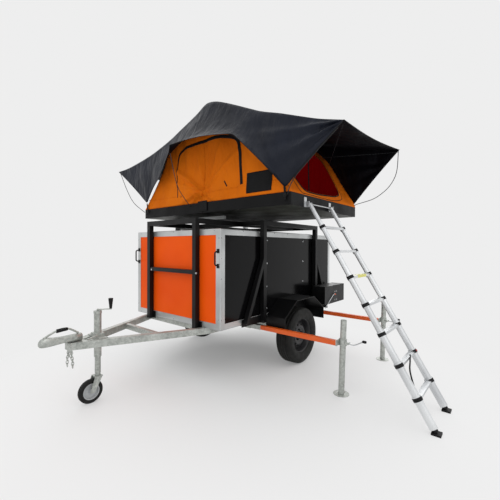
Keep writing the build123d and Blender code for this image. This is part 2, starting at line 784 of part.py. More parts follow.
# Roof tent trays: the fixed half on the tracks and the half that folds over it
halves = (
    ("fixed", tent_right, fold_y - tray_seam / 2, -1), ("folding", fold_y + tray_seam / 2, tent_left, 1)
)
for name, low_y, high_y, side in halves:
    with BuildPart() as tray:
        block((tent_rear, low_y, tray_low), (tent_front, high_y, tray_high))
        fillet(tray.edges().filter_by(Axis.Z).group_by(Axis.Y)[-1 if side > 0 else 0], 14)
        inner_low = low_y + (tray_sheet if side < 0 else -1)
        inner_high = high_y - (tray_sheet if side > 0 else -1)
        block(
            (tent_rear + tray_sheet, inner_low, tray_low + tray_floor),
            (tent_front - tray_sheet, inner_high, tray_high + 1), mode=Mode.SUBTRACT
        )
        for end, out in ((tent_front, 1), (tent_rear, -1)):
            layer = 0 if side < 0 else hinge_plate + 1
            near, far = sorted((end + out * layer, end + out * (layer + hinge_plate)))
            plate_low, plate_high = sorted((fold_y - side * hinge_overlap, fold_y + side * hinge_reach))
            block(
                (near, plate_low, tray_low + 20), (far, plate_high, tray_high + fold_lift + hinge_overlap)
            )
            if side < 0:
                pin_near, pin_far = sorted((end, end + out * (2 * hinge_plate + 3)))
                rod(
                    (pin_near, fold_y, tray_high + fold_lift), (pin_far, fold_y, tray_high + fold_lift),
                    hinge_pin
                )
            else:
                rod((near - 1, fold_y, tray_high + fold_lift), (far + 1, fold_y, tray_high + fold_lift),
                    hinge_pin + pin_clearance, mode=Mode.SUBTRACT)
                spacer_near, spacer_far = sorted((end, end + out * (layer + hinge_plate)))
                block(
                    (spacer_near, fold_y + hinge_overlap + 8, tray_low + 20),
                    (spacer_far, plate_high, tray_high - 20)
                )
    keep(tray, f"tray_{name}")
    with BuildPart() as pad:
        pad_low = low_y + (tray_sheet + soft_gap if side < 0 else 2)
        pad_high = high_y - (tray_sheet + soft_gap if side > 0 else 2)
        floor_z = tray_low + tray_floor
        block(
            (tent_rear + tray_sheet + soft_gap, pad_low, floor_z + 0.3),
            (tent_front - tray_sheet - soft_gap, pad_high, floor_z + mattress)
        )
        fillet(pad.edges().filter_by(Axis.Z), 20)
    keep(pad, f"mattress_{name}")

# Tent canvas: each half is a hollow of cloth over hoops, open to its tray and at the fold
canvas_inset = 1.5
canvas_low = tray_high + 0.3
canvas_ridge = (fold_z - fly_sheet - 0.6)
profiles = {
    "fixed": [(tent_right + canvas_inset, canvas_low), *walls_right, (fold_y - 1, canvas_ridge)],
    "folding": [(tent_left - canvas_inset, canvas_low), *walls_left, (fold_y + 1, canvas_ridge)],
}
for name, outline in profiles.items():
    inward = canvas_wall if name == "fixed" else -canvas_wall
    foot, top = outline[0], outline[-1]
    inside = [(foot[0] + inward, canvas_low - 0.1)]
    inside += [(y + inward, z - canvas_wall / 2) for y, z in outline[1:-1]]
    inside += [(top[0] + inward / 3, top[1] - canvas_wall)]
    layers = ((outline, canvas_inset, Mode.ADD), (inside, canvas_inset + canvas_wall, Mode.SUBTRACT))
    with BuildPart() as canvas:
        for points, inset, mode in layers:
            with BuildSketch(Plane.YZ.offset(tent_rear + inset)) as side_view:
                with BuildLine():
                    Polyline(*points, (points[-1][0], points[0][1]), close=True)
                make_face()
            extrude(side_view.sketch, amount=tray_depth - 2 * inset, mode=mode)
        if name == "folding":
            with BuildSketch(Plane.XZ.offset(-fold_y - (tent_left - fold_y) / 2)) as doorway:
                with Locations((tent_mid_x, canvas_low + door_sill + door_height / 2)):
                    RectangleRounded(door_width, door_height, door_height / 4)
            extrude(doorway.sketch, amount=-(tent_left - fold_y), mode=Mode.SUBTRACT)
    keep(canvas, f"canvas_{name}")


def cloth(points, facets, inner):
    """A thin closed solid of three-cornered facets. inner(point) gives the point on its underside."""
    under = {key: inner(value) for key, value in points.items()}
    edges = {}
    faces = []
    for facet in facets:
        faces.append(Face(Wire.make_polygon([points[key] for key in facet])))
        faces.append(Face(Wire.make_polygon([under[key] for key in reversed(facet)])))
        for a, b in zip(facet, facet[1:] + facet[:1]):
            if (b, a) in edges:
                del edges[(b, a)]
            else:
                edges[(a, b)] = True
    for a, b in edges:
        faces.append(Face(Wire.make_polygon([points[a], under[a], under[b]])))
        faces.append(Face(Wire.make_polygon([points[a], under[b], points[b]])))
    return Solid(Shell(faces))


def fly_inner(point):
    """The underside of the fly lies inward and a little lower."""
    x, y, z = point
    inward_x = -fly_sheet if x > tent_mid_x else fly_sheet
    inward_y = 0 if abs(y - fold_y) < 2 else (-fly_sheet / 2 if y > fold_y else fly_sheet / 2)
    return (x + inward_x, y + inward_y, z - fly_sheet)


def on_awning(y):
    """Height of the awning's outer edge between its two tips."""
    along = (y - awning_right[0]) / (awning_left[0] - awning_right[0])
    return awning_right[1] + along * (awning_left[1] - awning_right[1])


# Fly sheet: it runs over the hoops from the fold to the eave. At each end a wing hangs from the last
# hoop: from its sections to the awning's tip, and from the outer two to the strapped corner.
fly_front = tent_front + fly_stand
fly_rear = tent_rear - fly_stand
fly_halves = {
    "fixed": (fold_y - 1, hoops_right, awning_right, fly_corner_right, 0),
    "folding": (fold_y + 1, hoops_left, awning_left, fly_corner_left, eave_rise),
}
for name, (seam_y, hoops, awning, corner, rise) in fly_halves.items():
    line = ["seam"] + [f"hoop{number}" for number in range(len(hoops))]
    wing_facets = [("seam", "awning", "middle")]
    wing_facets += [(a, b, "awning") for a, b in zip(line[:-2], line[1:-1])]
    wing_facets += [(line[-2], line[-1], "corner"), (line[-2], "corner", "awning")]
    points = {}
    facets = []
    for end, x, out in (("front", fly_front, 1), ("rear", fly_rear, -1)):
        points[f"{end}_seam"] = (x, seam_y, fold_z)
        for key, (y, z) in zip(line[1:], hoops):
            points[f"{end}_{key}"] = (x, y, z + (rise if key == line[-1] and out < 0 else 0))
        points[f"{end}_corner"] = (x, *corner)
        points[f"{end}_awning"] = (x + out * awning_reach, *awning)
        points[f"{end}_middle"] = (x + out * awning_reach, seam_y, on_awning(seam_y))
        for facet in wing_facets:
            named = [f"{end}_{key}" for key in facet]
            facets.append(named if (out > 0) == (name == "fixed") else named[::-1])
    for a, b in zip(line[:-1], line[1:]):
        quad = [f"front_{a}", f"rear_{a}", f"rear_{b}", f"front_{b}"]
        if name == "folding":
            quad = quad[::-1]
        facets += [quad[:3], [quad[0], quad[2], quad[3]]]
    with BuildPart() as fly:
        add(cloth(points, facets, fly_inner))
        for x, out in ((tent_front, 1), (tent_rear, -1)):
            near, far = sorted((x + out * 0.3, x + out * (fly_stand - fly_sheet / 2)))
            inner_y = corner[0] + (strap_width if name == "fixed" else -strap_width)
            low_y, high_y = sorted((corner[0], inner_y))
            block((near, low_y, tray_low + strap_low), (far, high_y, corner[1] + strap_lap))
    keep(fly, f"fly_{name}")

# Spring rods: from a socket on the tray's end they bow outward and hold up the eaves and awnings
foot_z = tray_high - rod_foot_drop
rod_feet = {"fixed": (tent_right + 2, -20), "folding": (tent_left - 20, 760)}
for name, (seam_y, hoops, awning, corner, rise) in fly_halves.items():
    side = -1 if name == "fixed" else 1
    eave_foot, awning_foot = rod_feet[name]
    eave_y, eave_z = hoops[-1]
    with BuildPart() as rods:
        for x, out in ((tent_front, 1), (tent_rear, -1)):
            lift = rise if out < 0 else 0
            foot_x = x + out * (rod_radius + 0.3)
            reach_x = x + out * (fly_stand + awning_reach - 24)
            springs = (
                (
                    (foot_x, eave_foot, foot_z), (foot_x, eave_y - side * 40, eave_z + lift - rod_tip_drop),
                    (0, side, -1)
                ),
                (
                    (foot_x, awning_foot, foot_z),
                    (reach_x, awning[0] - side * 20, awning[1] - rod_tip_drop), (out, 0, -1)
                ),
            )
            for foot, tip, way in springs:
                bow = tuple((a + b) / 2 + c * rod_bow / 2 for a, b, c in zip(foot, tip, way))
                with BuildLine() as spring:
                    ThreePointArc(foot, bow, tip)
                with BuildSketch(Plane(origin=foot, z_dir=spring.wire() % 0)) as wire:
                    RegularPolygon(rod_radius, 6)
                sweep(wire.sketch, path=spring.wire())
    keep(rods, f"rods_{name}")

# Ladder: hinge bracket on the folding tray, two rails that thicken downwards, seven rungs
ladder_hinge = Vector(ladder_x, tent_left + ladder_top_out, tray_low + 30)
ladder_run = Vector(0, ladder_foot_y - ladder_hinge.Y, -ladder_hinge.Z)
ladder_length = ladder_run.length
ladder_down = ladder_run.normalized()
with BuildPart() as ladder_bracket:
    for side in (-1, 1):
        x = ladder_x + side * (ladder_half_width + 34)
        block((x - 5, tent_left, tray_low), (x + 5, tent_left + ladder_top_out + 12, tray_low + 50))
        block((x - 22, tent_left, tray_low + 2), (x + 22, tent_left + 5, tray_low + 90))
    rod(
        ladder_hinge - Vector(ladder_half_width + 40, 0, 0),
        ladder_hinge + Vector(ladder_half_width + 40, 0, 0), hinge_pin
    )
keep(ladder_bracket, "ladder_bracket")

sections = rung_count + 1
collar_half = 22
collar_wall = 5
ladder_foot_length = 40


def rail_radius(number):
    """Rail radius of a ladder section, counted from the top."""
    return rail_radius_top + rail_radius_step * number


with BuildPart() as ladder_rails:
    for side in (-1, 1):
        top = ladder_hinge + Vector(side * ladder_half_width, 0, 0)
        for number in range(sections):
            last = number == sections - 1
            end = ladder_length - ladder_foot_length if last else ladder_length * (number + 1) / sections
            rod(
                top + ladder_down * (ladder_length * number / sections), top + ladder_down * end,
                rail_radius(number)
            )
            if number:
                rod(top + ladder_down * (ladder_length * number / sections - collar_half),
                    top + ladder_down * (ladder_length * number / sections + collar_half),
                    rail_radius(number) + collar_wall)
        rod(top - Vector(24, 0, 0), top + Vector(24, 0, 0), 14)
        rod(top - Vector(40, 0, 0), top + Vector(40, 0, 0), hinge_pin + pin_clearance, mode=Mode.SUBTRACT)
keep(ladder_rails, "ladder_rails")

with BuildPart() as ladder_rungs:
    for number in range(1, sections):
        centre = ladder_hinge + ladder_down * (ladder_length * number / sections)
        reach = Vector(ladder_half_width - rail_radius(number) - collar_wall - 0.2, 0, 0)
        bar(centre - reach, centre + reach, rung_height, rung_width, up=(0, 1, 0))
keep(ladder_rungs, "ladder_rungs")

with BuildPart() as ladder_feet:
    for side in (-1, 1):
        top = ladder_hinge + Vector(side * ladder_half_width, 0, 0)
        rod(
            top + ladder_down * (ladder_length - ladder_foot_length),
            top + ladder_down * (ladder_length - 20), 22
        )
        block((top.X - 34, ladder_foot_y - 34, 0), (top.X + 34, ladder_foot_y + 30, 14))
keep(ladder_feet, "ladder_feet")

# The origin goes to the middle of the footprint, on the ground
whole = Compound(children=[copied for copied in (Part() + piece for piece in pieces)]).bounding_box()
shift = Location((-(whole.min.X + whole.max.X) / 2, -(whole.min.Y + whole.max.Y) / 2, -whole.min.Z))
for piece in pieces:
    moved = piece.moved(shift)
    moved.label = piece.label
    export_step(moved, f"parts/{piece.label}.step")
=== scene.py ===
# %% [markdown]
# # A folding camper trailer
# A box trailer carries a black tube rack, and the rack carries a soft tent that opens out to the left,
# over a ladder and two prop legs. The measured model gives the metal parts and how they move. This
# lesson gives them their finishes, and makes the cloth, the tyres and the small fittings.

# %% Load the measured model
import json
import math
import bmesh
import bpy
import numpy as np
from mathutils import Matrix, Vector, geometry, noise
from mathutils.bvhtree import BVHTree

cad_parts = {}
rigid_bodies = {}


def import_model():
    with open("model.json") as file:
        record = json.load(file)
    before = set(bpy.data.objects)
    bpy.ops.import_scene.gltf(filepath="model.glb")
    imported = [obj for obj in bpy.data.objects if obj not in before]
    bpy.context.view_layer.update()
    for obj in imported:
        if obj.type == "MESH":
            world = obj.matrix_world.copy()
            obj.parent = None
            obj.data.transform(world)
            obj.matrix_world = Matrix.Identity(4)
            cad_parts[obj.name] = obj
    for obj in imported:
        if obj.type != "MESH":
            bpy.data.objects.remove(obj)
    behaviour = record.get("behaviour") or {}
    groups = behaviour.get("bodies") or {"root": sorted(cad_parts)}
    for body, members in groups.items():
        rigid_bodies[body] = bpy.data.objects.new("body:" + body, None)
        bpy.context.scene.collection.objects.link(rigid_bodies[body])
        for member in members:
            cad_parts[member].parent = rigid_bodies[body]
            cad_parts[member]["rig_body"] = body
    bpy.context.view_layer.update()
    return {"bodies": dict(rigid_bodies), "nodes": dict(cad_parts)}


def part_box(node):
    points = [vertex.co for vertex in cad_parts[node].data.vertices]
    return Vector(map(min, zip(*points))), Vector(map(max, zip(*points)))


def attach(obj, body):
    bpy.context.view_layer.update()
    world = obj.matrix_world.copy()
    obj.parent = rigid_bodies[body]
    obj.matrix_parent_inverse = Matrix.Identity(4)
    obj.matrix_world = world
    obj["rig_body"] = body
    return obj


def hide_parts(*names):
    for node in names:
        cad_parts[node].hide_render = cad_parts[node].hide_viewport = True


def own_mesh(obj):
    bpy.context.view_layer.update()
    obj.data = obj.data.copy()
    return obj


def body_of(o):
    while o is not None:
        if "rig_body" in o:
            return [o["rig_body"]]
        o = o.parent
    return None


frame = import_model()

# %% [markdown]
# The trailer is easiest to think about from its own datum: x = 0 at the wheel axis and growing towards
# the coupling, y = 0 on the centre line and growing towards the ladder, z = 0 on the ground. One
# function turns such a place into the shared frame, so every later number can be read off the trailer.

# %% The datum
axle = sum((low + high for low, high in (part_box("tyre_left"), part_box("tyre_right"))), Vector()) / 4
sides = {"left": 1, "right": -1}
outward = {"front": 1, "rear": -1}


def at(x, y, z):
    """A place on the trailer, in metres from the wheel axis, the centre line and the ground."""
    return Vector((axle.x + x, axle.y + y, z))


def put(name, data):
    """An object in the scene that holds the given data."""
    made = bpy.data.objects.new(name, data)
    bpy.context.scene.collection.objects.link(made)
    return made


print("wheel axis at", axle)

# %% [markdown]
# The camera stands low at the front left corner, about as high as the load box, with a wide lens.
# It could be aimed at an empty; turning it by three angles keeps the horizon where the picture has it.

# %% Camera
def aim_camera(place, turn, tilt, roll, lens):
    """Stands the camera at place. Turn is from +X, tilt is up, roll is clockwise, all in degrees."""
    turn, tilt, roll = (math.radians(angle) for angle in (turn, tilt, roll))
    ahead = Vector((math.cos(turn) * math.cos(tilt), math.sin(turn) * math.cos(tilt), math.sin(tilt)))
    right = Vector((math.sin(turn), -math.cos(turn), 0))
    up = right.cross(ahead)
    right, up = right * math.cos(roll) + up * math.sin(roll), up * math.cos(roll) - right * math.sin(roll)
    camera = put("camera", bpy.data.cameras.new("camera"))
    camera.data.lens = lens
    camera.matrix_world = Matrix((right, up, -ahead)).transposed().to_4x4()
    camera.location = place
    bpy.context.scene.camera = camera
    return camera


camera = aim_camera(at(3.208, 2.777, 1.337), turn=219.794, tilt=-0.517, roll=0.213, lens=22.827)
print("camera at", camera.location)

# %% [markdown]
# Materials are small node trees. These helpers add one node, with its plain inputs set and the rest
# linked, and they serve shader trees and Geometry Nodes trees alike.

# %% Helpers for node trees
def node(tree, kind, inputs=None, **settings):
    """Adds a node. A socket given as an input is linked, and any other value is set on the socket."""
    made = tree.nodes.new(kind)
    for key, value in settings.items():
        setattr(made, key, value)
    for key, value in (inputs or {}).items():
        if isinstance(value, bpy.types.NodeSocket):
            tree.links.new(value, made.inputs[key])
        else:
            made.inputs[key].default_value = value
    return made


def maths(tree, operation, first, second):
    """One step of arithmetic on two values."""
    return node(tree, "ShaderNodeMath", {0: first, 1: second}, operation=operation).outputs[0]


def paint(red, green, blue):
    """A colour as a paint chart gives it, 0 to 255, turned into the linear values that nodes use."""
    return tuple(((c / 255 + 0.055) / 1.055) ** 2.4 if c > 10 else c / 255 / 12.92 for c in (red, green, blue)) + (1,)


pale = paint(238, 238, 238)
print("chart grey 238 is", round(pale[0], 3), "in linear light")

# %% [markdown]
# The studio is one pale floor that runs into a pale surround. The surround shows its colour to the
# camera and to reflections, while a softer light from it falls on the trailer.

# %% The surround
def surround(colour, ambient):
    """A world that shows one colour and lights the scene with a strength of its own."""
    world = bpy.data.worlds.new("surround")
    bpy.context.scene.world = world
    world.use_nodes = True
    tree = world.node_tree
    tree.nodes.clear()
    path = node(tree, "ShaderNodeLightPath").outputs
    seen = maths(tree, "MAXIMUM", path["Is Camera Ray"], path["Is Glossy Ray"])
    seen = maths(tree, "MAXIMUM", seen, path["Is Transmission Ray"])
    shown = node(tree, "ShaderNodeBackground", {"Color": colour, "Strength": 1.0}).outputs[0]
    lit = node(tree, "ShaderNodeBackground", {"Color": (1, 1, 1, 1), "Strength": ambient}).outputs[0]
    mix = node(tree, "ShaderNodeMixShader", {0: seen, 1: lit, 2: shown}).outputs[0]
    node(tree, "ShaderNodeOutputWorld", {"Surface": mix})
    return world


bpy.context.scene.view_settings.view_transform = "Standard"
print("surround:", surround(pale, ambient=0.74).name)

# %% [markdown]
# Two wide suns give the shapes their form. Each has a strength, the angle it fills and three turns.

# %% Suns
suns = {"sun_high": (1.05, 100, (-18, 12, 0)), "sun_front": (1.1, 70, (-52, 0, 118))}
for name, (strength, spread, turns) in suns.items():
    sun = put(name, bpy.data.lights.new(name, "SUN"))
    sun.data.energy = strength
    sun.data.angle = math.radians(spread)
    sun.rotation_euler = [math.radians(angle) for angle in turns]
print("suns:", ", ".join(suns))

# %% [markdown]
# The floor takes the trailer's shadow, and far away it turns into the surround's own colour. A little of
# that colour glows through near the trailer too, which keeps the shadow as light as the picture's.

# %% The floor
def lay_floor(colour, albedo, near, far, glow=0.2, radius=60, corners=64):
    """A round floor whose own light takes over from near to far, in metres."""
    material = bpy.data.materials.new("studio_floor")
    material.use_nodes = True
    tree = material.node_tree
    tree.nodes.clear()
    place = node(tree, "ShaderNodeTexCoord").outputs["Object"]
    distance = node(tree, "ShaderNodeVectorMath", {0: place}, operation="LENGTH").outputs["Value"]
    blend = node(tree, "ShaderNodeMapRange", {"Value": distance, "From Min": near, "From Max": far}).outputs[0]
    diffuse = node(tree, "ShaderNodeBsdfDiffuse", {"Color": (albedo, albedo, albedo, 1)}).outputs[0]
    light = node(tree, "ShaderNodeEmission", {"Color": colour, "Strength": 1.0}).outputs[0]
    close = node(tree, "ShaderNodeMixShader", {0: glow, 1: diffuse, 2: light}).outputs[0]
    mix = node(tree, "ShaderNodeMixShader", {0: blend, 1: close, 2: light}).outputs[0]
    node(tree, "ShaderNodeOutputMaterial", {"Surface": mix})
    mesh = bpy.data.meshes.new("studio_floor")
    turns = np.linspace(0, 2 * math.pi, corners, endpoint=False)
    mesh.from_pydata([(radius * math.cos(a), radius * math.sin(a), -0.0005) for a in turns], [], [list(range(corners))])
    mesh.materials.append(material)
    floor = put("studio_floor", mesh)
    return floor


floor = lay_floor(pale, albedo=0.80, near=0.8, far=2.8)
print("floor of radius", max(floor.dimensions) / 2)

# %% [markdown]
# Real surfaces are never one flat colour: paint has orange peel and dust, zinc has crystals, board has
# scuffs. Most finishes here share one recipe. A slow noise drifts between two tones, a quicker one
# drifts the roughness, and a fine noise lifts the surface. What is the same all over stays a plain
# number on the shader.

# %% The shared recipe for a finish
def drift(tree, scale, low, high, detail=3.0, stretch=(1, 1, 1)):
    """A value that wanders between low and high over the object."""
    place = node(tree, "ShaderNodeTexCoord").outputs["Object"]
    place = node(tree, "ShaderNodeMapping", {"Vector": place, "Scale": stretch}).outputs[0]
    wander = node(tree, "ShaderNodeTexNoise", {"Vector": place, "Scale": scale, "Detail": detail}).outputs["Fac"]
    return node(tree, "ShaderNodeMapRange", {"Value": wander, "From Min": 0.32, "From Max": 0.68,
                                             "To Min": low, "To Max": high}).outputs[0]


def tones(tree, amount, *colours):
    """Chart colours spread evenly along a ramp that amount moves through."""
    ramp = node(tree, "ShaderNodeValToRGB", {"Fac": amount})
    for number, (stop, colour) in enumerate(zip(ramp.color_ramp.elements, colours)):
        stop.position = number
        stop.color = paint(*colour)
    return ramp.outputs["Color"]


def finish(name, dark, light, rough, patch=3.0, grain=700.0, lift=0.05, depth=0.0006, **plain):
    """A finish: two tones, two roughnesses and a fine grain. Other words are sockets set to one value."""
    material = bpy.data.materials.new(name)
    material.use_nodes = True
    tree = material.node_tree
    shader = tree.nodes["Principled BSDF"]
    for socket, value in plain.items():
        shader.inputs[socket.replace("_", " ")].default_value = value
    tree.links.new(tones(tree, drift(tree, patch, 0, 1), dark, light), shader.inputs["Base Color"])
    tree.links.new(drift(tree, patch * 2.3, *rough), shader.inputs["Roughness"])
    grained = drift(tree, grain, 0, 1, 2.0)
    bump = node(tree, "ShaderNodeBump", {"Strength": lift, "Distance": depth, "Height": grained})
    tree.links.new(bump.outputs[0], shader.inputs["Normal"])
    return material


print("finishes before the first of them:", len(bpy.data.materials))

# %% [markdown]
# Hot-dip zinc shows as pale grey crystals the size of a fingernail, each reflecting a little
# differently. Voronoi cells are made for that: every cell gets its own grey.

# %% Galvanised steel
def zinc_finish(name, crystals, dark, light):
    """Galvanised steel with crystals, counted per metre."""
    material = finish(name, dark, light, (0.4, 0.6), patch=4, grain=350, lift=0.12, depth=0.0005, Metallic=0.6)
    tree = material.node_tree
    place = node(tree, "ShaderNodeTexCoord").outputs["Object"]
    cells = node(tree, "ShaderNodeTexVoronoi", {"Vector": place, "Scale": crystals}).outputs["Color"]
    shade = node(tree, "ShaderNodeSeparateColor", {"Color": cells}).outputs[0]
    half = maths(tree, "MULTIPLY", maths(tree, "ADD", shade, drift(tree, 9, 0, 1)), 0.5)
    tree.links.new(tones(tree, half, dark, light), tree.nodes["Principled BSDF"].inputs["Base Color"])
    return material


zinc = zinc_finish("galvanised_steel", 70, (146, 150, 145), (198, 201, 196))
print("zinc crystals about", round(1000 / 70), "mm across")

# %% [markdown]
# The other finishes of the metal and board parts. Powder coat is satin with a fine peel, the side
# boards are smooth black laminate, and the front board is bright orange. The box edges and the ladder
# are drawn aluminium, brushed very finely.

# %% Finishes of the measured parts
drawn = dict(patch=2.5, grain=900, lift=0.05, Metallic=0.8)
aluminium = finish("drawn_aluminium", (180, 182, 182), (212, 214, 214), (0.3, 0.42), **drawn)
ladder_metal = finish("anodised_ladder", (198, 200, 202), (228, 230, 231), (0.28, 0.4), **drawn)
bright_zinc = finish("bright_zinc", (178, 180, 182), (214, 216, 218), (0.2, 0.34), grain=500, lift=0.04, Metallic=0.9)
orange_board = finish("orange_board", (236, 80, 3), (246, 92, 8), (0.42, 0.55), patch=1.6, grain=420, lift=0.06,
                      Specular_IOR_Level=0.1)
orange_coat = finish("orange_powder_coat", (214, 82, 14), (232, 98, 24), (0.34, 0.48), grain=800, lift=0.08)
black_board = finish("black_laminate", (6, 6, 7), (11, 11, 12), (0.12, 0.2), patch=1.2, grain=260, lift=0.02,
                     Specular_IOR_Level=0.14)
black_coat = finish("black_powder_coat", (8, 8, 9), (14, 14, 15), (0.36, 0.5), grain=850, lift=0.09,
                    Specular_IOR_Level=0.25)
black_moulding = finish("black_moulding", (9, 9, 10), (16, 16, 17), (0.5, 0.66), grain=1200, lift=0.08,
                        Specular_IOR_Level=0.25)
rubber = finish("tyre_rubber", (18, 18, 17), (28, 28, 26), (0.6, 0.78), patch=9, grain=600, lift=0.15,
                Specular_IOR_Level=0.28)
wheel_paint = finish("wheel_black", (20, 20, 22), (32, 32, 34), (0.3, 0.45), grain=600, lift=0.06)
wheel_grey = finish("wheel_grey", (150, 153, 155), (182, 184, 185), (0.4, 0.55), lift=0.06)
lamp_red = finish("lamp_red", (130, 8, 10), (170, 16, 16), (0.12, 0.2), grain=200, lift=0.05, Coat_Weight=0.6)
print(len(bpy.data.materials), "finishes so far")

# %% [markdown]
# Each measured part now gets its finish, by its name in the record.

# %% Give the measured parts their finishes
part_finishes = {
    zinc: "chassis_frame drawbar_frame coupling_head safety_chains axle_beam jockey_clamp jockey_tube jockey_stem "
          "jockey_fork leg_clamp_front leg_clamp_rear leg_front leg_rear arm_guides",
    aluminium: "box_frame door_hinges tent_tracks",
    ladder_metal: "ladder_rails ladder_rungs ladder_bracket",
    orange_board: "panel_front",
    orange_coat: "arm_front arm_rear",
    black_board: "panel_left panel_right panel_floor panel_roof door_left door_right plate_left plate_right",
    black_coat: "rack_front rack_left rack_right rack_beams tool_box mudguard_left mudguard_right light_bar",
    black_moulding: "coupling_handle grab_handles ladder_feet",
    rubber: "tyre_left tyre_right jockey_tyre",
    wheel_paint: "rim_left rim_right",
    wheel_grey: "jockey_rim",
    lamp_red: "rear_lamps",
}


def give(names, material):
    """Gives measured parts one material in place of the plain one."""
    for name in names:
        slots = frame["nodes"][name].data.materials
        slots.clear()
        slots.append(material)


for material, names in part_finishes.items():
    give(names.split(), material)
print(sum(len(names.split()) for names in part_finishes.values()), "measured parts finished")

# %% [markdown]
# The tent is cut from four cloths. The walls are orange polycotton; their inside is painted dark red
# with a faint painted glow, for the shade in the tent and the light that comes through the orange cloth.
# The fly is slate polyester, and its underside is painted near black for the shade under it. Tapes and
# straps are black webbing, and the mattresses have a grey cover. All share one weave: two crossed waves,
# counted on a UV map in metres, over slow creases that the eye reads as cloth. The tent's spring wire is dark steel.

# %% Cloth finishes
def cloth_finish(name, dark, light, rough, threads=150, crease=0.65, **plain):
    """Woven cloth. Threads are counted on the piece's own map, called cut, which is in metres."""
    material = finish(name, dark, light, rough, patch=1.7, Sheen_Roughness=0.4, **plain)
    tree = material.node_tree
    cut = node(tree, "ShaderNodeUVMap", uv_map="cut").outputs["UV"]
    warp, weft = (node(tree, "ShaderNodeTexWave", {"Vector": cut, "Scale": threads, "Distortion": 0.4},
                       bands_direction=way).outputs["Fac"] for way in ("X", "Y"))
    weave = maths(tree, "MULTIPLY", warp, weft)
    creases = drift(tree, 5, 0, 1, 4.0, (1, 1, 0.35))
    slow = node(tree, "ShaderNodeBump", {"Strength": crease, "Distance": 0.03, "Height": creases}).outputs[0]
    fine = node(tree, "ShaderNodeBump", {"Strength": 0.25, "Distance": 0.0006, "Height": weave, "Normal": slow})
    tree.links.new(fine.outputs[0], tree.nodes["Principled BSDF"].inputs["Normal"])
    return material


canvas_out = cloth_finish("orange_polycotton", (204, 98, 8), (228, 118, 16), (0.8, 0.92), Specular_IOR_Level=0.1)
# The wall's inside: painted dark red with a faint painted glow, for the shade in the tent and the light through the
# orange cloth.
canvas_inside_painted = cloth_finish("canvas_lining", (150, 12, 10), (176, 18, 14), (0.85, 0.95), crease=0.2,
                         Specular_IOR_Level=0.1, Emission_Color=paint(150, 4, 12), Emission_Strength=0.12)
fly_out = cloth_finish("slate_fly", (9, 13, 24), (18, 24, 38), (0.42, 0.56), threads=220, Sheen_Weight=0.12,
                       Specular_IOR_Level=0.22)
# The fly's underside: painted near black for the shade under the fly.
fly_inside_painted = cloth_finish("fly_proofing", (4, 4, 9), (9, 9, 15), (0.6, 0.75), threads=220, Specular_IOR_Level=0.1)
webbing = cloth_finish("black_webbing", (12, 12, 13), (20, 20, 21), (0.7, 0.85), threads=320, crease=0.05,
                       Specular_IOR_Level=0.2)
mattress_cloth = cloth_finish("mattress_cover", (86, 88, 92), (112, 114, 118), (0.85, 0.95), crease=0.2)
spring = finish("spring_wire", (34, 35, 37), (60, 62, 64), (0.35, 0.5), grain=500, Metallic=0.5)
print("cloths:", canvas_out.name, fly_out.name, webbing.name, mattress_cloth.name)

# %% [markdown]
# The trays are wrapped in black sheeting, and their underside is olive. Sheeting is one material on a
# measured part, so the underside is found by which way the surface faces rather than by a second piece.

# %% Tray sheeting
def tray_sheeting(name, black, olive):
    """Black coated sheeting, olive where it faces the ground. Each colour is a pair of chart tones."""
    material = finish(name, *black, (0.42, 0.6), patch=2.2, grain=420, lift=0.2, depth=0.001, Specular_IOR_Level=0.14)
    tree = material.node_tree
    facing = node(tree, "ShaderNodeNewGeometry").outputs["True Normal"]
    facing = node(tree, "ShaderNodeSeparateXYZ", {0: facing}).outputs["Z"]
    down = maths(tree, "LESS_THAN", facing, -0.7)
    colours = [tones(tree, drift(tree, patch, 0, 1), *pair) for patch, pair in ((2.2, black), (2.4, olive))]
    both = node(tree, "ShaderNodeMix", data_type="RGBA")
    for number, value in zip((0, 6, 7), (down, *colours)):
        tree.links.new(value, both.inputs[number])
    tree.links.new(both.outputs[2], tree.nodes["Principled BSDF"].inputs["Base Color"])
    return material


sheeting = tray_sheeting("tray_sheeting", ((8, 8, 9), (14, 14, 15)), ((26, 27, 21), (38, 40, 31)))
give(["tray_fixed", "tray_folding"], sheeting)
print("trays wrapped in", sheeting.name)

# %% [markdown]
# Smooth edges come from a few points and a curve through them. This is the line that a sewing pattern
# is drawn with, and it serves hoops, hems, wires and straps.

# %% A smooth line through points
def walk(line):
    """How far along a line each of its points lies."""
    return np.concatenate([[0], np.cumsum(np.linalg.norm(np.diff(line, axis=0), axis=1))])


def smooth_line(points, count):
    """Evenly spaced points along a smooth line through the given ones."""
    p = np.array(points, float)
    p = np.vstack([2 * p[0] - p[1], p, 2 * p[-1] - p[-2]])
    t = np.linspace(0, 1, 24, endpoint=False)[:, None]
    runs = [0.5 * (2 * b + (c - a) * t + (2 * a - 5 * b + 4 * c - d) * t ** 2 + (3 * b - a - 3 * c + d) * t ** 3)
            for a, b, c, d in zip(p[:-3], p[1:-2], p[2:-1], p[3:])]
    line = np.vstack([*runs, p[-2:-1]])
    walked = walk(line)
    even = np.linspace(0, walked[-1], count)
    return np.stack([np.interp(even, walked, line[:, axis]) for axis in range(line.shape[1])], 1)


print("a quarter turn in", len(smooth_line([(0, 0), (0.7, 0.3), (1, 1)], 9)), "points")

# %% [markdown]
# A finished mesh becomes a piece here: it gets its materials, rides on one body of the trailer, and
# hides the measured parts it stands for. Modifiers are used up first, so every piece is a plain mesh.

# %% From mesh to piece
def held(name, mesh):
    """An object that only holds a mesh while modifiers work on it."""
    return put(name + "_work", mesh)


def plain_mesh(holder):
    """The evaluated mesh of an object, with its modifiers used up. The object is removed."""
    graph = bpy.context.evaluated_depsgraph_get()
    mesh = bpy.data.meshes.new_from_object(holder.evaluated_get(graph), depsgraph=graph)
    bpy.data.objects.remove(holder)
    return mesh


def mesh_of(name, tools):
    """The mesh that a set of mesh tools holds. The tools are freed."""
    mesh = bpy.data.meshes.new(name)
    tools.to_mesh(mesh)
    tools.free()
    return mesh


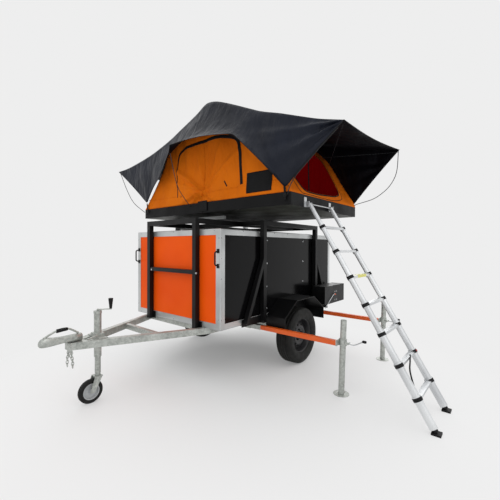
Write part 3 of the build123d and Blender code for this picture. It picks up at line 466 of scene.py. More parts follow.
def thickened(name, mesh, thick, cloths=1):
    """The mesh with a wall built inwards. With two cloths, the second one lines it."""
    holder = held(name, mesh)
    layer = holder.modifiers.new("thickness", "SOLIDIFY")
    layer.thickness, layer.offset = thick, -1
    layer.material_offset = cloths - 1
    return plain_mesh(holder)


def turn_out(tools):
    """Turns every face of a closed shape outwards."""
    bmesh.ops.recalc_face_normals(tools, faces=tools.faces[:])


def piece_of(name, mesh, materials, body, stands_for=()):
    """A finished piece that rides on a body, with the given materials, and hides the measured parts it stands for."""
    mesh.name = name
    if not mesh.materials:
        for material in materials:
            mesh.materials.append(material)
    piece = put(name, mesh)
    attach(piece, body)
    if stands_for:
        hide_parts(*stands_for)
    return piece


# %% [markdown]
# The tent folds in half, so its cloth is made in one sheet and then cut along the fold. Each half
# rides stiffly on its own half of the tent, though real cloth can't follow a hinge stiffly and flattens
# towards its tray when the tent is packed.

# %% Sewing
fold_line = at(0, 0.18, 1.818)
halves = {"fixed": ("trailer", -1), "folding": ("tent_half", 1)}


def tent_middle(z):
    """A point on the tent's middle line, which its cloth is turned away from."""
    return at(0.17, 0.2, z)


def one_half(sheet, side):
    """A copy of the sheet, cut along the fold, with only one side kept."""
    half = sheet.copy()
    bmesh.ops.bisect_plane(half, geom=half.verts[:] + half.edges[:] + half.faces[:], dist=1e-5,
                           plane_co=(0, fold_line.y, 0), plane_no=(0, 1, 0),
                           clear_outer=side < 0, clear_inner=side > 0)
    return half


def sew(name, sheet, cloths, thick, stands_for=None):
    """Cuts a piece at the fold and hangs each half on its half of the tent. A one-layer sheet is thickened
    inwards, and with thick=0 the piece is solid already and its cut ends are closed."""
    made = []
    for half, (body, side) in halves.items():
        cut = one_half(sheet, side)
        if not cut.faces:
            cut.free()
            continue
        area = sum(face.calc_area() for face in cut.faces)
        if not thick:
            bmesh.ops.holes_fill(cut, edges=[edge for edge in cut.edges if edge.is_boundary], sides=0)
        mesh = mesh_of(f"{name}_{half}", cut)
        for cloth in cloths:
            mesh.materials.append(cloth)
        if thick:
            mesh = thickened(name, mesh, thick, len(cloths))
        stands = [f"{stands_for}_{half}"] if stands_for else []
        piece = piece_of(f"{name}_{half}", mesh, cloths, body, stands)
        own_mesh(piece)
        piece["cut_area"] = area
        made.append(piece)
    sheet.free()
    return made


print("the tent folds along y =", round(fold_line.y, 3), "in the shared frame")

# %% [markdown]
# The fly is a saddle-shaped sheet: hoops hold it up along the ridge, and spring wires pull its corners
# out. A real one is stretched until no thread can get shorter, so the sheet is laid out roughly and
# each free point is then moved to the middle of its neighbours, again and again. Where one point pulls
# at tight cloth, small folds fan out from it.

# %% Stretching and creasing cloth
def stretch_tight(rows, passes, fixed=()):
    """Moves the free points of a grid to the middle of their neighbours. Borders and fixed columns stay."""
    kept = {column: rows[:, column].copy() for column in fixed}
    for _ in range(passes):
        rows[1:-1, 1:-1] = (rows[:-2, 1:-1] + rows[2:, 1:-1] + rows[1:-1, :-2] + rows[1:-1, 2:]) / 4
        for column, places in kept.items():
            rows[:, column] = places
    return rows


def crumple(rows, size, amount, seed):
    """Shallow creases: every point inside the border moves along Z by a smooth noise."""
    for i in range(1, len(rows) - 1):
        for j in range(1, rows.shape[1] - 1):
            rows[i, j, 2] += amount * noise.noise(Vector(rows[i, j]) / size + Vector((seed, 0, 0)))
    return rows


def fan(u, v, hub, folds, reach):
    """Folds that fan out from one pulled point. Each is an angle in degrees and a strength."""
    total = 0
    for angle, strength in folds:
        c, s = math.cos(math.radians(angle)), math.sin(math.radians(angle))
        along = (u - hub[0]) * c + (v - hub[1]) * s
        aside = (v - hub[1]) * c - (u - hub[0]) * s
        if 0 < along < reach:
            width = 0.007 + 0.035 * along
            total += strength * math.exp(-(aside / width) ** 2) * min(1, along / 0.06) * (1 - along / reach)
    return total


print("a fold is", fan(0.5, 0, (0, 0), [(0, 1)], 1), "strong halfway along its reach")

# %% [markdown]
# A stretched grid becomes quads with a map in metres. Where two grids share a border their points are
# merged, and then every face is turned away from a point inside the tent.

# %% From grid to sheet
merge_distance = 0.0004


def cut_map(sheet):
    """The sheet's map of the flat cloth."""
    return sheet.loops.layers.uv.get("cut") or sheet.loops.layers.uv.new("cut")


def lay_grid(sheet, rows):
    """Adds rows of points to the sheet as quads, mapped in metres."""
    cut = cut_map(sheet)
    along, across = walk(rows[0]), walk(rows[:, rows.shape[1] // 2])
    verts = [[sheet.verts.new(place) for place in row] for row in rows]
    for i in range(len(rows) - 1):
        for j in range(rows.shape[1] - 1):
            corners = ((i, j), (i, j + 1), (i + 1, j + 1), (i + 1, j))
            face = sheet.faces.new([verts[a][b] for a, b in corners])
            face.smooth = True
            for loop, (a, b) in zip(face.loops, corners):
                loop[cut].uv = (along[b], across[a])


def face_outwards(sheet, hub):
    """Merges touching borders and turns every face away from the hub."""
    bmesh.ops.remove_doubles(sheet, verts=sheet.verts[:], dist=merge_distance)
    bmesh.ops.dissolve_degenerate(sheet, edges=sheet.edges[:], dist=0.0003)
    turn_out(sheet)
    lean = sum(face.normal.dot(face.calc_center_median() - hub) * face.calc_area() for face in sheet.faces)
    if lean < 0:
        bmesh.ops.reverse_faces(sheet, faces=sheet.faces[:])


print("grids are joined where their points are within", merge_distance, "m")

# %% [markdown]
# The roof of the fly hangs between the two end hoops. It sags a little between them, is drawn in along
# its eaves, and stays straight along its ridge. In the picture the rear end of the left
# eave stands higher than the front one.

# %% The roof of the fly
fly_line = [(-1.574, 2.404), (-1.275, 2.418), (-0.79, 2.491), (-0.41, 2.589), (-0.18, 2.672), (0.10, 2.778),
            (0.22, 2.838), (0.29, 2.854), (0.38, 2.842), (0.465, 2.815), (0.632, 2.744), (0.863, 2.636),
            (1.005, 2.572), (1.203, 2.503), (1.404, 2.425), (1.586, 2.357), (1.785, 2.299)]
fly_ends = {"front": 0.918, "rear": -0.576}
eave_lift = {"front": 0.0, "rear": 0.13}
columns, roof_rows, wing_rows = 110, 30, 26


def hoop_line(end):
    """The fly along one end hoop, from the right eave to the left one."""
    return smooth_line([(fly_ends[end], y, z + eave_lift[end] * max(0.0, min(1.0, (y - 0.7) / 1.1)))
                        for y, z in fly_line], columns)


front_line, rear_line = hoop_line("front"), hoop_line("rear")
ridge = int(np.argmax(front_line[:, 2]))
travel = np.linspace(0, 1, roof_rows)[:, None, None]
roof = front_line[None] * (1 - travel) + rear_line[None] * travel
hang = np.sin(np.pi * travel[:, :, 0])
eave_share = np.abs(np.linspace(-1, 1, columns))[None] ** 6
draw_in, sag, eave_sag = 0.016, 0.02, 0.008
roof[:, :, 1] *= 1 - draw_in * hang * eave_share
roof[:, :, 2] -= sag * hang * (1 - eave_share) + eave_sag * hang * eave_share
roof = stretch_tight(roof, 24, fixed=range(ridge - 2, ridge + 3))
roof = crumple(crumple(roof, 0.35, 0.018, 3), 0.11, 0.006, 7)
print("the ridge is column", ridge, "of", columns)

# %% [markdown]
# Over each window the fly hangs down as a wing. Its lower edge runs from the right eave to a strap at
# the tray, out over the window on a spring rod, back to a second strap, and up to the left eave. Each
# mark says how far along the edge it is, its place across, how far it is held out, and its height.

# %% The wings of the fly
wing_reach = 0.222
awning = 0.44  # the share of the edge where the awning begins
short_run, edge_bow, awning_bow = 0.05, 0.012, 0.03
wing_marks = [(0.0, -1.574, 0, 2.404), (0.235, -0.856, 0, 1.898), (0.30, -0.632, 0.15, 2.105),
              (0.35, -0.464, 0.37, 2.165), (0.39, -0.275, 0.60, 2.315), (0.425, -0.085, 1, 2.365),
              (awning, -0.075, 1, 2.43), (0.62, 0.845, 1, 2.345), (0.81, 1.26, 0, 1.852), (1.0, 1.785, 0, 2.299)]
# Each pull has a depth, the point it comes from, its reach and its folds.
wing_pulls = [(0.026, (1.26, 1.852), 0.95, [(96, 0.6), (84, -0.5), (112, 0.8), (126, -0.5), (140, 0.7), (62, 0.7),
                                            (52, -0.6)]),
              (0.030, (1.785, 2.299), 1.1, [(176, 0.8), (187, -0.7), (197, 0.9), (206, -0.6), (214, 0.6)]),
              (0.020, (-0.856, 1.898), 0.8, [(100, 0.7), (118, -0.6), (82, 0.5), (66, -0.5)])]


def wing_edge(end):
    """The lower edge of one wing, bowed up a little between its marks."""
    known, y, reach, z = np.array(wing_marks).T
    z[-1] += eave_lift[end]
    share = np.linspace(0, 1, columns)
    x = fly_ends[end] + outward[end] * wing_reach * reach
    edge = np.stack([np.interp(share, known, line) for line in (x, y, z)], 1)
    for start, stop in zip(known, known[1:]):
        between = (share > start) & (share < stop)
        if stop - start > short_run:
            bow = np.sin(np.pi * (share[between] - start) / (stop - start))
            edge[between, 2] += (awning_bow if start == awning else edge_bow) * bow
    return edge


def wing(end, upper):
    """The part of the fly that hangs below a hoop, from eave to eave, and its lower edge."""
    lower = wing_edge(end)
    travel = np.linspace(0, 1, wing_rows)[:, None, None]
    rows = stretch_tight(upper[None] * (1 - travel) + lower[None] * travel, 260)
    for i in range(1, wing_rows - 1):
        for j in range(1, columns - 1):
            ripple = 0.018 * noise.noise(Vector(rows[i, j]) / 0.22)
            for depth, hub, reach, folds in wing_pulls:
                ripple += depth * fan(rows[i, j, 1], rows[i, j, 2], hub, folds, reach)
            rows[i, j, 0] += outward[end] * ripple * math.sin(math.pi * i / (wing_rows - 1)) ** 0.5
    return rows, lower


wings = {"front": wing("front", roof[0]), "rear": wing("rear", roof[-1])}
print("wings held out by", wing_reach, "m")

# %% [markdown]
# Roof and wings are sewn into one cloth, slate outside and painted near black inside, for the shade
# under the fly. A fly is cut from sheets of about 2.6 by 2.35 metres for each half.

# %% Sewing the fly
fly = bmesh.new()
for rows in (roof, wings["front"][0], wings["rear"][0]):
    lay_grid(fly, rows + np.array(at(0, 0, 0)))
face_outwards(fly, tent_middle(1.9))
fly_pieces = sew("fly_cloth", fly, [fly_out, fly_inside_painted], 0.0016, stands_for="fly")
print("fly halves of", [round(piece["cut_area"], 2) for piece in fly_pieces], "square metres")

# %% [markdown]
# The walls are cut from flat cloth. A pattern piece is an outline with holes, filled with small
# triangles, and a place function says where each point of the flat cloth hangs. The further a point is
# from a sewn edge, the freer the cloth, so the place function is told that distance too.

# %% Pattern pieces
def even_loop(points, spacing):
    """A closed loop as points about one spacing apart, along straight edges."""
    points = np.array(points, float)
    out = []
    for a, b in zip(points, np.roll(points, -1, axis=0)):
        steps = max(1, round(float(np.linalg.norm(b - a)) / spacing))
        out += [a + (b - a) * i / steps for i in range(steps)]
    return np.array(out)


def within(loop, points):
    """Which points lie inside a closed loop, by counting the edges each one sees to its right."""
    hit = np.zeros(len(points), bool)
    for (a, b), (c, d) in zip(loop, np.roll(loop, -1, axis=0)):
        if b != d:
            crosses = (b > points[:, 1]) != (d > points[:, 1])
            hit ^= crosses & (points[:, 0] < a + (points[:, 1] - b) / (d - b) * (c - a))
    return hit


def seeds(loops, spacing):
    """Points inside the first loop and outside the others, in offset rows, and how far each is from an edge."""
    border = np.vstack(loops)
    low, high = border.min(0), border.max(0)
    grid = np.array([(u + (number % 2) * spacing / 2, v)
                     for number, v in enumerate(np.arange(low[1], high[1], spacing * 0.87))
                     for u in np.arange(low[0], high[0], spacing)])
    grid = grid[within(loops[0], grid)]
    for hole in loops[1:]:
        grid = grid[~within(hole, grid)]
    free = np.array([np.linalg.norm(border - point, axis=1).min() for point in grid])
    clear = free > 0.55 * spacing
    return np.vstack([border, grid[clear]]), np.concatenate([np.zeros(len(border)), free[clear]])


def cut_cloth(sheet, outline, holes, spacing, place):
    """Adds a pattern piece to the sheet. place(u, v, free) gives the point where the cloth hangs."""
    cut = cut_map(sheet)
    loops = [even_loop(loop, spacing) for loop in (outline, *holes)]
    points, free = seeds(loops, spacing)
    edges, start = [], 0
    for loop in loops:
        edges += [(start + i, start + (i + 1) % len(loop)) for i in range(len(loop))]
        start += len(loop)
    flat, _, faces, source, *_ = geometry.delaunay_2d_cdt([Vector(point) for point in points], edges, [], 1, 1e-6)
    verts = [sheet.verts.new(place(*point, free[origin[0]] if origin else 0)) for point, origin in zip(flat, source)]
    for corners in faces:
        middle = np.array([sum((flat[i] for i in corners), Vector((0, 0))) / len(corners)])
        if not any(within(hole, middle)[0] for hole in loops[1:]):
            face = sheet.faces.new([verts[i] for i in corners])
            face.smooth = True
            for loop, i in zip(face.loops, corners):
                loop[cut].uv = flat[i]


print("a square of one metre, walked in", len(even_loop([(0, 0), (1, 0), (1, 1), (0, 1)], 0.25)), "points")

# %% [markdown]
# The canvas follows three hoops. Its two end walls hang flat between their seams but are pulled
# together low in the middle, where the window's toggles are, and that point throws the fan of folds.

# %% The canvas's end walls
canvas_line = smooth_line([(-0.935, 1.82), (-0.76, 2.0), (-0.583, 2.216), (-0.417, 2.46), (-0.18, 2.612),
                           (0.10, 2.715), (0.29, 2.792), (0.465, 2.748), (0.64, 2.672), (0.766, 2.597),
                           (0.867, 2.50), (0.965, 2.387), (1.141, 2.086), (1.269, 1.889), (1.298, 1.82)], 90)
canvas_ends = {"front": 0.8935, "rear": -0.552}
pull = (0.20, 1.95)
pull_folds = [(151, 1), (166, 0.5), (196, 0.7), (214, 0.9), (236, 0.8), (260, 0.6), (284, 0.7), (316, 0.6), (62, 0.45),
              (36, 0.5), (108, 0.35), (84, 0.3)]
cross_seam, upright_seam = 1.932, 0.17


def swell(x, y, z):
    """A smooth noise."""
    return noise.noise(Vector((x, y, z)))


def groove(distance, width):
    """How deep a narrow groove is at some distance from its line, from 1 down to 0."""
    return math.exp(-(distance / width) ** 2)


def end_wall(end):
    """The place function of one end wall. u is across the trailer and v is up."""
    out = outward[end]

    def place(u, v, free):
        loose = min(1.0, free / 0.07)
        bulge = 0.018 * swell(u * 2.2, v * 2.6, out) + 0.026 * swell(u * 7, v * 2.0, out + 4)
        dimple = math.exp(-((u - pull[0]) ** 2 + (v - pull[1]) ** 2) / 0.003)
        creases = 0.065 * fan(u, v, pull, pull_folds, 0.75) - 0.012 * dimple
        seam = -0.004 * groove(v - cross_seam, 0.007) * (-0.27 < u < 0.75) - 0.004 * groove(u - upright_seam, 0.008)
        inset = -0.016 * min(1.0, free / 0.2)
        return at(canvas_ends[end] + out * (inset + loose * (bulge + creases) + seam), u, v)

    return place


canvas = bmesh.new()
print("end walls with", len(pull_folds), "folds each")

# %% [markdown]
# The long piece goes over the hoops from tray to tray, with the doorway cut in its left slope. Its flat
# cloth is measured along the trailer and up from the left tray.

# %% The canvas's long piece
tray_top = 1.82
from_left = canvas_line[::-1]
walked = walk(from_left)
slopes = np.gradient(from_left, axis=0)
slopes /= np.linalg.norm(slopes, axis=1)[:, None]


def over_hoops(u, v, free):
    """The place function of the long piece."""
    y, z, along_y, along_z = (np.interp(v, walked, line) for line in (*from_left.T, *slopes.T))
    loose = min(1.0, free / 0.08)
    sag = loose * (0.012 * swell(u * 2.4, v * 2.4, 9) + 0.011 * swell(u * 8, v * 3, 2) - 0.012)
    return at(u, y + along_z * sag, z - along_y * sag)


cloth_per_height = 1.1596
doorway = smooth_line([(x, (z - tray_top) * cloth_per_height) for x, z in (
    (0.42, 1.862), (0.16, 1.878), (-0.088, 1.904), (-0.236, 1.97), (-0.311, 2.166), (-0.283, 2.40), (-0.13, 2.47),
    (0.20, 2.49), (0.50, 2.47), (0.625, 2.38), (0.655, 2.16), (0.655, 1.93), (0.60, 1.868), (0.42, 1.862))], 60)[:-1]
low, high = canvas_ends["rear"], canvas_ends["front"]
outline = [(low, 0), *[(high, v) for v in walked], *[(low, v) for v in walked[:0:-1]]]
cut_cloth(canvas, outline, [doorway], 0.03, over_hoops)
for end, spacing in (("front", 0.017), ("rear", 0.024)):
    cut_cloth(canvas, [tuple(point) for point in canvas_line], [], spacing, end_wall(end))
face_outwards(canvas, tent_middle(2.0))
surface = BVHTree.FromBMesh(canvas)
canvas_pieces = sew("canvas_cloth", canvas, [canvas_out, canvas_inside_painted], 0.0012, stands_for="canvas")
print("canvas halves of", [round(piece["cut_area"], 2) for piece in canvas_pieces], "square metres")

# %% [markdown]
# Bindings, zips, the window's toggles and the patch are tapes that lie on the cloth. A tape is drawn as
# a line and a width, then laid down by casting each of its points onto the canvas.

# %% Laying tape
def lay_tape(sheet, path, width, look, across=4, lift=0.0022):
    """Lays a tape of the given width, or one width per point, along a path. look points into the cloth."""
    path = np.array(path, float)
    width = np.atleast_1d(width)
    widths = np.interp(np.linspace(0, 1, len(path)), np.linspace(0, 1, len(width)), width)
    look = Vector(look).normalized()
    aside = np.cross(np.gradient(path, axis=0), np.array(look))
    aside /= np.linalg.norm(aside, axis=1)[:, None]
    rows = []
    for share in np.linspace(-0.5, 0.5, across):
        row = []
        for point, way, wide in zip(path, aside, widths):
            spot = at(*(point + way * wide * share))
            hit = surface.ray_cast(spot - look * 0.15, look, 0.3)[0]
            row.append((hit if hit else spot) - look * lift)
        rows.append(row)
    lay_grid(sheet, np.array(rows))


def lay_on_end(sheet, end, marks, count, width, **tape):
    """Lays a tape on an end wall, through marks across and up."""
    path = [(canvas_ends[end], y, z) for y, z in smooth_line(marks, count)]
    lay_tape(sheet, path, width, (-outward[end], 0, 0), **tape)


print("tape is cast onto", len(canvas_pieces), "halves")

# %% [markdown]
# The window's binding is an arch that gets wider to the right, with three toggles below it. The front
# wall also carries a bare patch. Two rings of tape run round the doorway, and seams cross the end walls.

# %% Tapes and seams
arch = [(-0.262, 1.979), (-0.281, 2.145), (-0.263, 2.294), (-0.206, 2.425), (-0.027, 2.469), (0.141, 2.478),
        (0.314, 2.484), (0.477, 2.469), (0.655, 2.41), (0.70, 2.30), (0.711, 2.185), (0.738, 1.948)]
arch_widths = (0.012, 0.016, 0.026, 0.032, 0.033, 0.034, 0.036, 0.036)
toggles = [([(-0.262, 1.979), (-0.258, 1.93), (-0.262, 1.915)], 8, 0.013),
           ([(0.505, 2.01), (0.517, 1.99), (0.541, 1.952)], 10, 0.014),
           ([(-0.195, 1.934), (-0.192, 1.912), (-0.20, 1.905)], 8, 0.005)]
tapes, seams = bmesh.new(), bmesh.new()
for end in outward:
    for marks, count, width in ((arch, 70, arch_widths), *toggles):
        lay_on_end(tapes, end, marks, count, width)
    for marks in ([(-0.84, cross_seam), (0.2, 1.928), (1.22, cross_seam)],
                  [(upright_seam, 1.85), (0.172, 2.1), (upright_seam, 2.46)]):
        lay_on_end(seams, end, marks, 90, 0.011, across=3, lift=0.0018)
lay_on_end(tapes, "front", [(0.80, 1.948), (0.95, 1.948), (1.097, 1.948)], 24, 0.196, across=16, lift=0.003)

door_middle = doorway.mean(0)
slope_in, slope_up = 0.506, 0.862  # for each metre of cloth on the left slope
for grow_by, width in ((1.018, 0.018), (1.16, 0.007)):
    ring = door_middle + (np.vstack([doorway, doorway[:1]]) - door_middle) * (grow_by, 1 + (grow_by - 1) * 1.1)
    ring[:, 1] = np.maximum(ring[:, 1], 0.012)
    path = [(u, 1.298 - slope_in * v, tray_top + slope_up * v) for u, v in smooth_line(ring, 140)]
    lay_tape(tapes, path, width, (0, -1, -0.587))
for name, sheet, cloth, thick, slot in (("canvas_tapes", tapes, webbing, 0.0012, "black_plastic"),
                                        ("canvas_seams", seams, canvas_out, 0.001, "canvas_orange")):
    face_outwards(sheet, tent_middle(2.0))
    sew(name, sheet, [cloth], thick)
print("window arch laid from", arch[0], "to", arch[-1])

# %% [markdown]
# Spring rods stand on the trays and bow outwards under the pull of the fly. A curve with a round bevel
# is the natural way to draw wire: the line is a few points, and the curve bends between.

# %% Spring rods
def wire(lines, radius, sides=3):
    """Round wire along smooth lines, as one closed mesh in editing form, with every face turned outwards."""
    curve = bpy.data.curves.new("wire", "CURVE")
    curve.dimensions = "3D"
    curve.bevel_depth = radius
    curve.bevel_resolution = sides
    curve.use_fill_caps = True
    for line in lines:
        spline = curve.splines.new("POLY")
        spline.points.add(len(line) - 1)
        for point, place in zip(spline.points, line):
            point.co = (*at(*place), 1)
    made = bmesh.new()
    made.from_mesh(plain_mesh(held("wire", curve)))
    bmesh.ops.remove_doubles(made, verts=made.verts[:], dist=0.00005)
    turn_out(made)
    for face in made.faces:
        face.smooth = True
    return made


rod_foot = 1.786
eaves = {"front": wings["front"][1][int(columns * 0.84):-1:3] - (0.010, 0, 0.002),
         "rear": [(-0.5585, y, z) for y, z in ((1.509, 1.904), (1.655, 1.998), (1.734, 2.102), (1.768, 2.213),
                                               (1.780, 2.415))]}
rods = []
for end, x in (("front", 0.9005), ("rear", -0.5585)):
    out = outward[end]
    rods += [smooth_line([(x, -0.938, rod_foot), (x, -1.20, 1.93), (x, -1.38, 2.12), (x, -1.562, 2.385)], 28),
             smooth_line([(x, -0.01, rod_foot), (x + out * 0.09, -0.02, 1.88), (x + out * 0.17, -0.04, 2.02),
                          (x + out * 0.224, -0.088, 2.35)], 28),
             smooth_line([(x, 1.275, 1.79), (x, 1.29, 1.85), *eaves[end]], 24)]
sew("rods_wire", wire(rods, 0.0038), [spring], 0, stands_for="rods")
print(len(rods), "spring rods")

# %% [markdown]
# Every free edge of the fly is folded over a cord and stitched, which gives it a round, darker rim.
# A thin line guys each left eave.

# %% Hems and guy lines
hems = [wings[end][1] for end in wings] + [roof[:, 0], roof[:, -1]]
sew("fly_hems", wire(hems, 0.0028, 2), [black_moulding], 0)
guys = [[(x, 1.772, 2.268 + eave_lift[end]), (inner, 1.052, 2.262)]
        for end, x, inner in (("front", 0.905, -0.30), ("rear", -0.565, 0.30))]
sew("fly_guys", wire(guys, 0.0012, 1), [spring], 0)
print(len(hems), "hems and", len(guys), "guy lines")

# %% [markdown]
# Straps with a small buckle pull the fly's four corners down to the trays, and one strap holds the
# rolled door. A strap is a narrow grid, laid as wide as the webbing to each side of its line.

# %% Straps
def edges_of(verts):
    """The edges that touch some points, each one once and always in the same order."""
    return list(dict.fromkeys(edge for vert in verts for edge in vert.link_edges))


def rounded_block(tools, middle, size, round_off=0.2, steps=2):
    """Adds a block with rounded edges. round_off is a share of its smallest side."""
    made = bmesh.ops.create_cube(tools, size=1)["verts"]
    for vert in made:
        vert.co = Vector(middle) + Vector(a * b for a, b in zip(vert.co, size))
    bmesh.ops.bevel(tools, geom=edges_of(made), offset=min(size) * round_off, segments=steps, affect="EDGES",
                    profile=0.5)


def lay_strap(sheet, points, count, half_width):
    """Adds a strap along a line. half_width points from the line to one of its edges."""
    path = smooth_line(points, count)
    lay_grid(sheet, np.array([[at(*point) + Vector(half_width) * share for point in path]
                              for share in (-1, -0.33, 0.33, 1)]))


straps, buckles = bmesh.new(), bmesh.new()
for end, x in (("front", 0.896), ("rear", -0.554)):
    out = outward[end]
    for y, z in ((-0.860, 1.894), (1.252, 1.862)):
        lay_strap(straps, [(x + out * 0.021, y, z), (x + out * 0.012, y, 1.815), (x + out * 0.013, y, 1.745)], 14,
                  (0, 0.011, 0))
        rounded_block(buckles, at(x + out * 0.014, y, 1.79), (0.008, 0.032, 0.030))
        rounded_block(buckles, at(x + out * 0.017, y, 1.79), (0.006, 0.036, 0.008))
lay_strap(straps, [(0.06, 1.000, 2.33), (0.062, 1.006, 2.12), (0.06, 1.012, 1.93)], 16, (0.012, 0, 0))
face_outwards(straps, tent_middle(1.8))
sew("fly_straps", straps, [webbing], 0.0012)
sew("fly_buckles", buckles, [black_moulding], 0)
print("four corner straps and one door strap")

# %% [markdown]
# A mattress is foam in a quilted cover: it crowns a little, its sides pull in at the corners, and rows
# of tufts draw the cover down. The form is simple enough to write as one height over the cut.

# %% Mattresses
def quilt(a, b, low, size, over):
    """A point of the cover, from shares of the length and the width, on its upper or its under side."""
    pull_in = 0.010 * (4 * a * (1 - a) + 4 * b * (1 - b)) ** 0.5
    x = low.x + 0.012 + (size.x - 0.024) * a + (0.010 - pull_in) * (1 - 2 * a)
    y = low.y + 0.012 + (size.y - 0.024) * b + (0.010 - pull_in) * (1 - 2 * b)
    rim_fall = (1 - (2 * a - 1) ** 10) * (1 - (2 * b - 1) ** 10)
    height = size.z * (0.30 + 0.20 * rim_fall ** 0.5)
    tufts = abs(math.sin(math.pi * a * 6) * math.sin(math.pi * b * 5)) ** 0.35
    return Vector((x, y, low.z + size.z / 2 + (height - 0.004 * (1 - tufts) if over else -height)))


def mattress(name, node_name, body, rows=56, columns=44):
    """A quilted pad that fills the space its measured block holds."""
    low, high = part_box(node_name)
    pad = bmesh.new()
    cut = cut_map(pad)
    under, over = ([[pad.verts.new(quilt(i / (rows - 1), j / (columns - 1), low, high - low, side))
                     for j in range(columns)] for i in range(rows)] for side in (False, True))
    for i in range(rows - 1):
        for j in range(columns - 1):
            for grid, order in ((over, 1), (under, -1)):
                pad.faces.new([grid[a][b] for a, b in ((i, j), (i + 1, j), (i + 1, j + 1), (i, j + 1))][::order])
    ring = [(i, 0) for i in range(rows)] + [(rows - 1, j) for j in range(1, columns)]
    ring += [(i, columns - 1) for i in range(rows - 2, -1, -1)] + [(0, j) for j in range(columns - 2, 0, -1)]
    for a, b in zip(ring, ring[1:] + ring[:1]):
        pad.faces.new([under[a[0]][a[1]], under[b[0]][b[1]], over[b[0]][b[1]], over[a[0]][a[1]]])
    turn_out(pad)
    for face in pad.faces:
        face.smooth = True
        for loop in face.loops:
            loop[cut].uv = loop.vert.co.xy
    piece = piece_of(name, mesh_of(name, pad), [mattress_cloth], body, [node_name])
    return piece


for half, (body, _) in halves.items():
    pad = mattress(f"mattress_pad_{half}", f"mattress_{half}", body)
print("mattresses", [round(value, 2) for value in pad.dimensions])

# %% [markdown]
# Rivets, screws and nuts repeat all over the trailer. Geometry Nodes suit them: the places are points
# that carry the way they face, a tree builds one unit, and Instance on Points sets it at each place.

# %% Trees that set a unit on points
def new_tree(name, **inputs):
    """An empty Geometry Nodes tree with a mesh going in and out, and named number inputs."""
    tree = bpy.data.node_groups.new(name, "GeometryNodeTree")
    for way in ("INPUT", "OUTPUT"):
        tree.interface.new_socket("Geometry", in_out=way, socket_type="NodeSocketGeometry")
    for title, value in inputs.items():
        kind = "NodeSocketInt" if isinstance(value, int) else "NodeSocketFloat"
        tree.interface.new_socket(title.replace("_", " "), in_out="INPUT", socket_type=kind).default_value = value
    return tree, node(tree, "NodeGroupInput").outputs


def scaled(tree, unit, x, y, z):
    """The unit scaled along its three axes by values of the tree."""
    shape = node(tree, "ShaderNodeCombineXYZ", {0: x, 1: y, 2: z}).outputs[0]
    return node(tree, "GeometryNodeTransform", {"Geometry": unit, "Scale": shape}).outputs[0]


def set_on_points(tree, points, unit, material):
    """Ends a tree: the unit stands on each point, its Z along facing and its X along heading."""
    facing, heading = (node(tree, "GeometryNodeInputNamedAttribute", {"Name": name},
                            data_type="FLOAT_VECTOR").outputs[0] for name in ("facing", "heading"))
    stand = node(tree, "FunctionNodeAlignRotationToVector", {"Vector": facing}, axis="Z").outputs[0]
    turn = node(tree, "FunctionNodeAlignRotationToVector", {"Rotation": stand, "Vector": heading}, axis="X",
                pivot_axis="Z").outputs[0]
    placed = node(tree, "GeometryNodeInstanceOnPoints", {"Points": points, "Instance": unit,
                                                         "Rotation": turn}).outputs[0]
    real = node(tree, "GeometryNodeRealizeInstances", {"Geometry": placed}).outputs[0]
    dressed = node(tree, "GeometryNodeSetMaterial", {"Geometry": real, "Material": material}).outputs[0]
    node(tree, "NodeGroupOutput", {"Geometry": dressed})
    return tree


print("trees before the first of them:", len(bpy.data.node_groups))

# %% [markdown]
# A head is a short dome on a washer. Its sizes are named inputs, so one tree makes every kind.

# %% Heads of rivets, screws and nuts
def head_tree(name, material):
    """A tree that sets a domed head on a washer at each point."""
    tree, sizes = new_tree(name, Head_radius=0.004, Head_height=0.002, Washer=1.5, Sides=12)
    radius, height = sizes["Head radius"], sizes["Head height"]
    dome = node(tree, "GeometryNodeMeshUVSphere", {"Segments": sizes["Sides"], "Rings": 6, "Radius": 1.0}).outputs[0]
    washer = node(tree, "GeometryNodeMeshCylinder", {"Vertices": 16, "Radius": 1.0, "Depth": 0.9}).outputs[0]
    wide = maths(tree, "MULTIPLY", radius, sizes["Washer"])
    unit = node(tree, "GeometryNodeJoinGeometry")
    for half in (scaled(tree, dome, radius, radius, height), scaled(tree, washer, wide, wide, height)):
        tree.links.new(half, unit.inputs[0])
    smooth = node(tree, "GeometryNodeSetShadeSmooth", {"Geometry": unit.outputs[0]}).outputs[0]
    return set_on_points(tree, sizes["Geometry"], smooth, material)


def grow(name, tree, places, body, slot, stands_for=(), **inputs):
    """Runs a tree on a set of (place, facing, heading) and hangs the plain result on a body."""
    mesh = bpy.data.meshes.new(name + "_points")
    mesh.from_pydata([tuple(place) for place, _, _ in places], [], [])
    for title, column in (("facing", 1), ("heading", 2)):
        ways = mesh.attributes.new(title, "FLOAT_VECTOR", "POINT")
        ways.data.foreach_set("vector", [c for entry in places for c in entry[column]])
    holder = held(name, mesh)
    modifier = holder.modifiers.new("grow", "NODES")
    modifier.node_group = tree
    for item in tree.interface.items_tree:
        if item.in_out == "INPUT" and item.name.replace(" ", "_") in inputs:
            modifier[item.identifier] = inputs[item.name.replace(" ", "_")]
    made = plain_mesh(holder)
    for title in ("facing", "heading"):
        if title in made.attributes:
            made.attributes.remove(made.attributes[title])
    return piece_of(name, made, (), body, stands_for)


zinc_heads = head_tree("zinc_heads", bright_zinc)
print("tree:", zinc_heads.name)

# %% [markdown]
# The box is held together by rows of blind rivets along its edge profiles. Each row is a straight line
# with even spacing on one face of the box. The plates and the rack have larger screws.

# %% Rivets and screws
def row(start, stop, facing, spacing):
    """Even places from start to stop, in trailer metres, facing one way."""
    start, stop = Vector(start), Vector(stop)
    count = max(2, round((stop - start).length / spacing) + 1)
    return [(at(*(start.lerp(stop, i / (count - 1)))), facing, (0, 0, 1)) for i in range(count)]


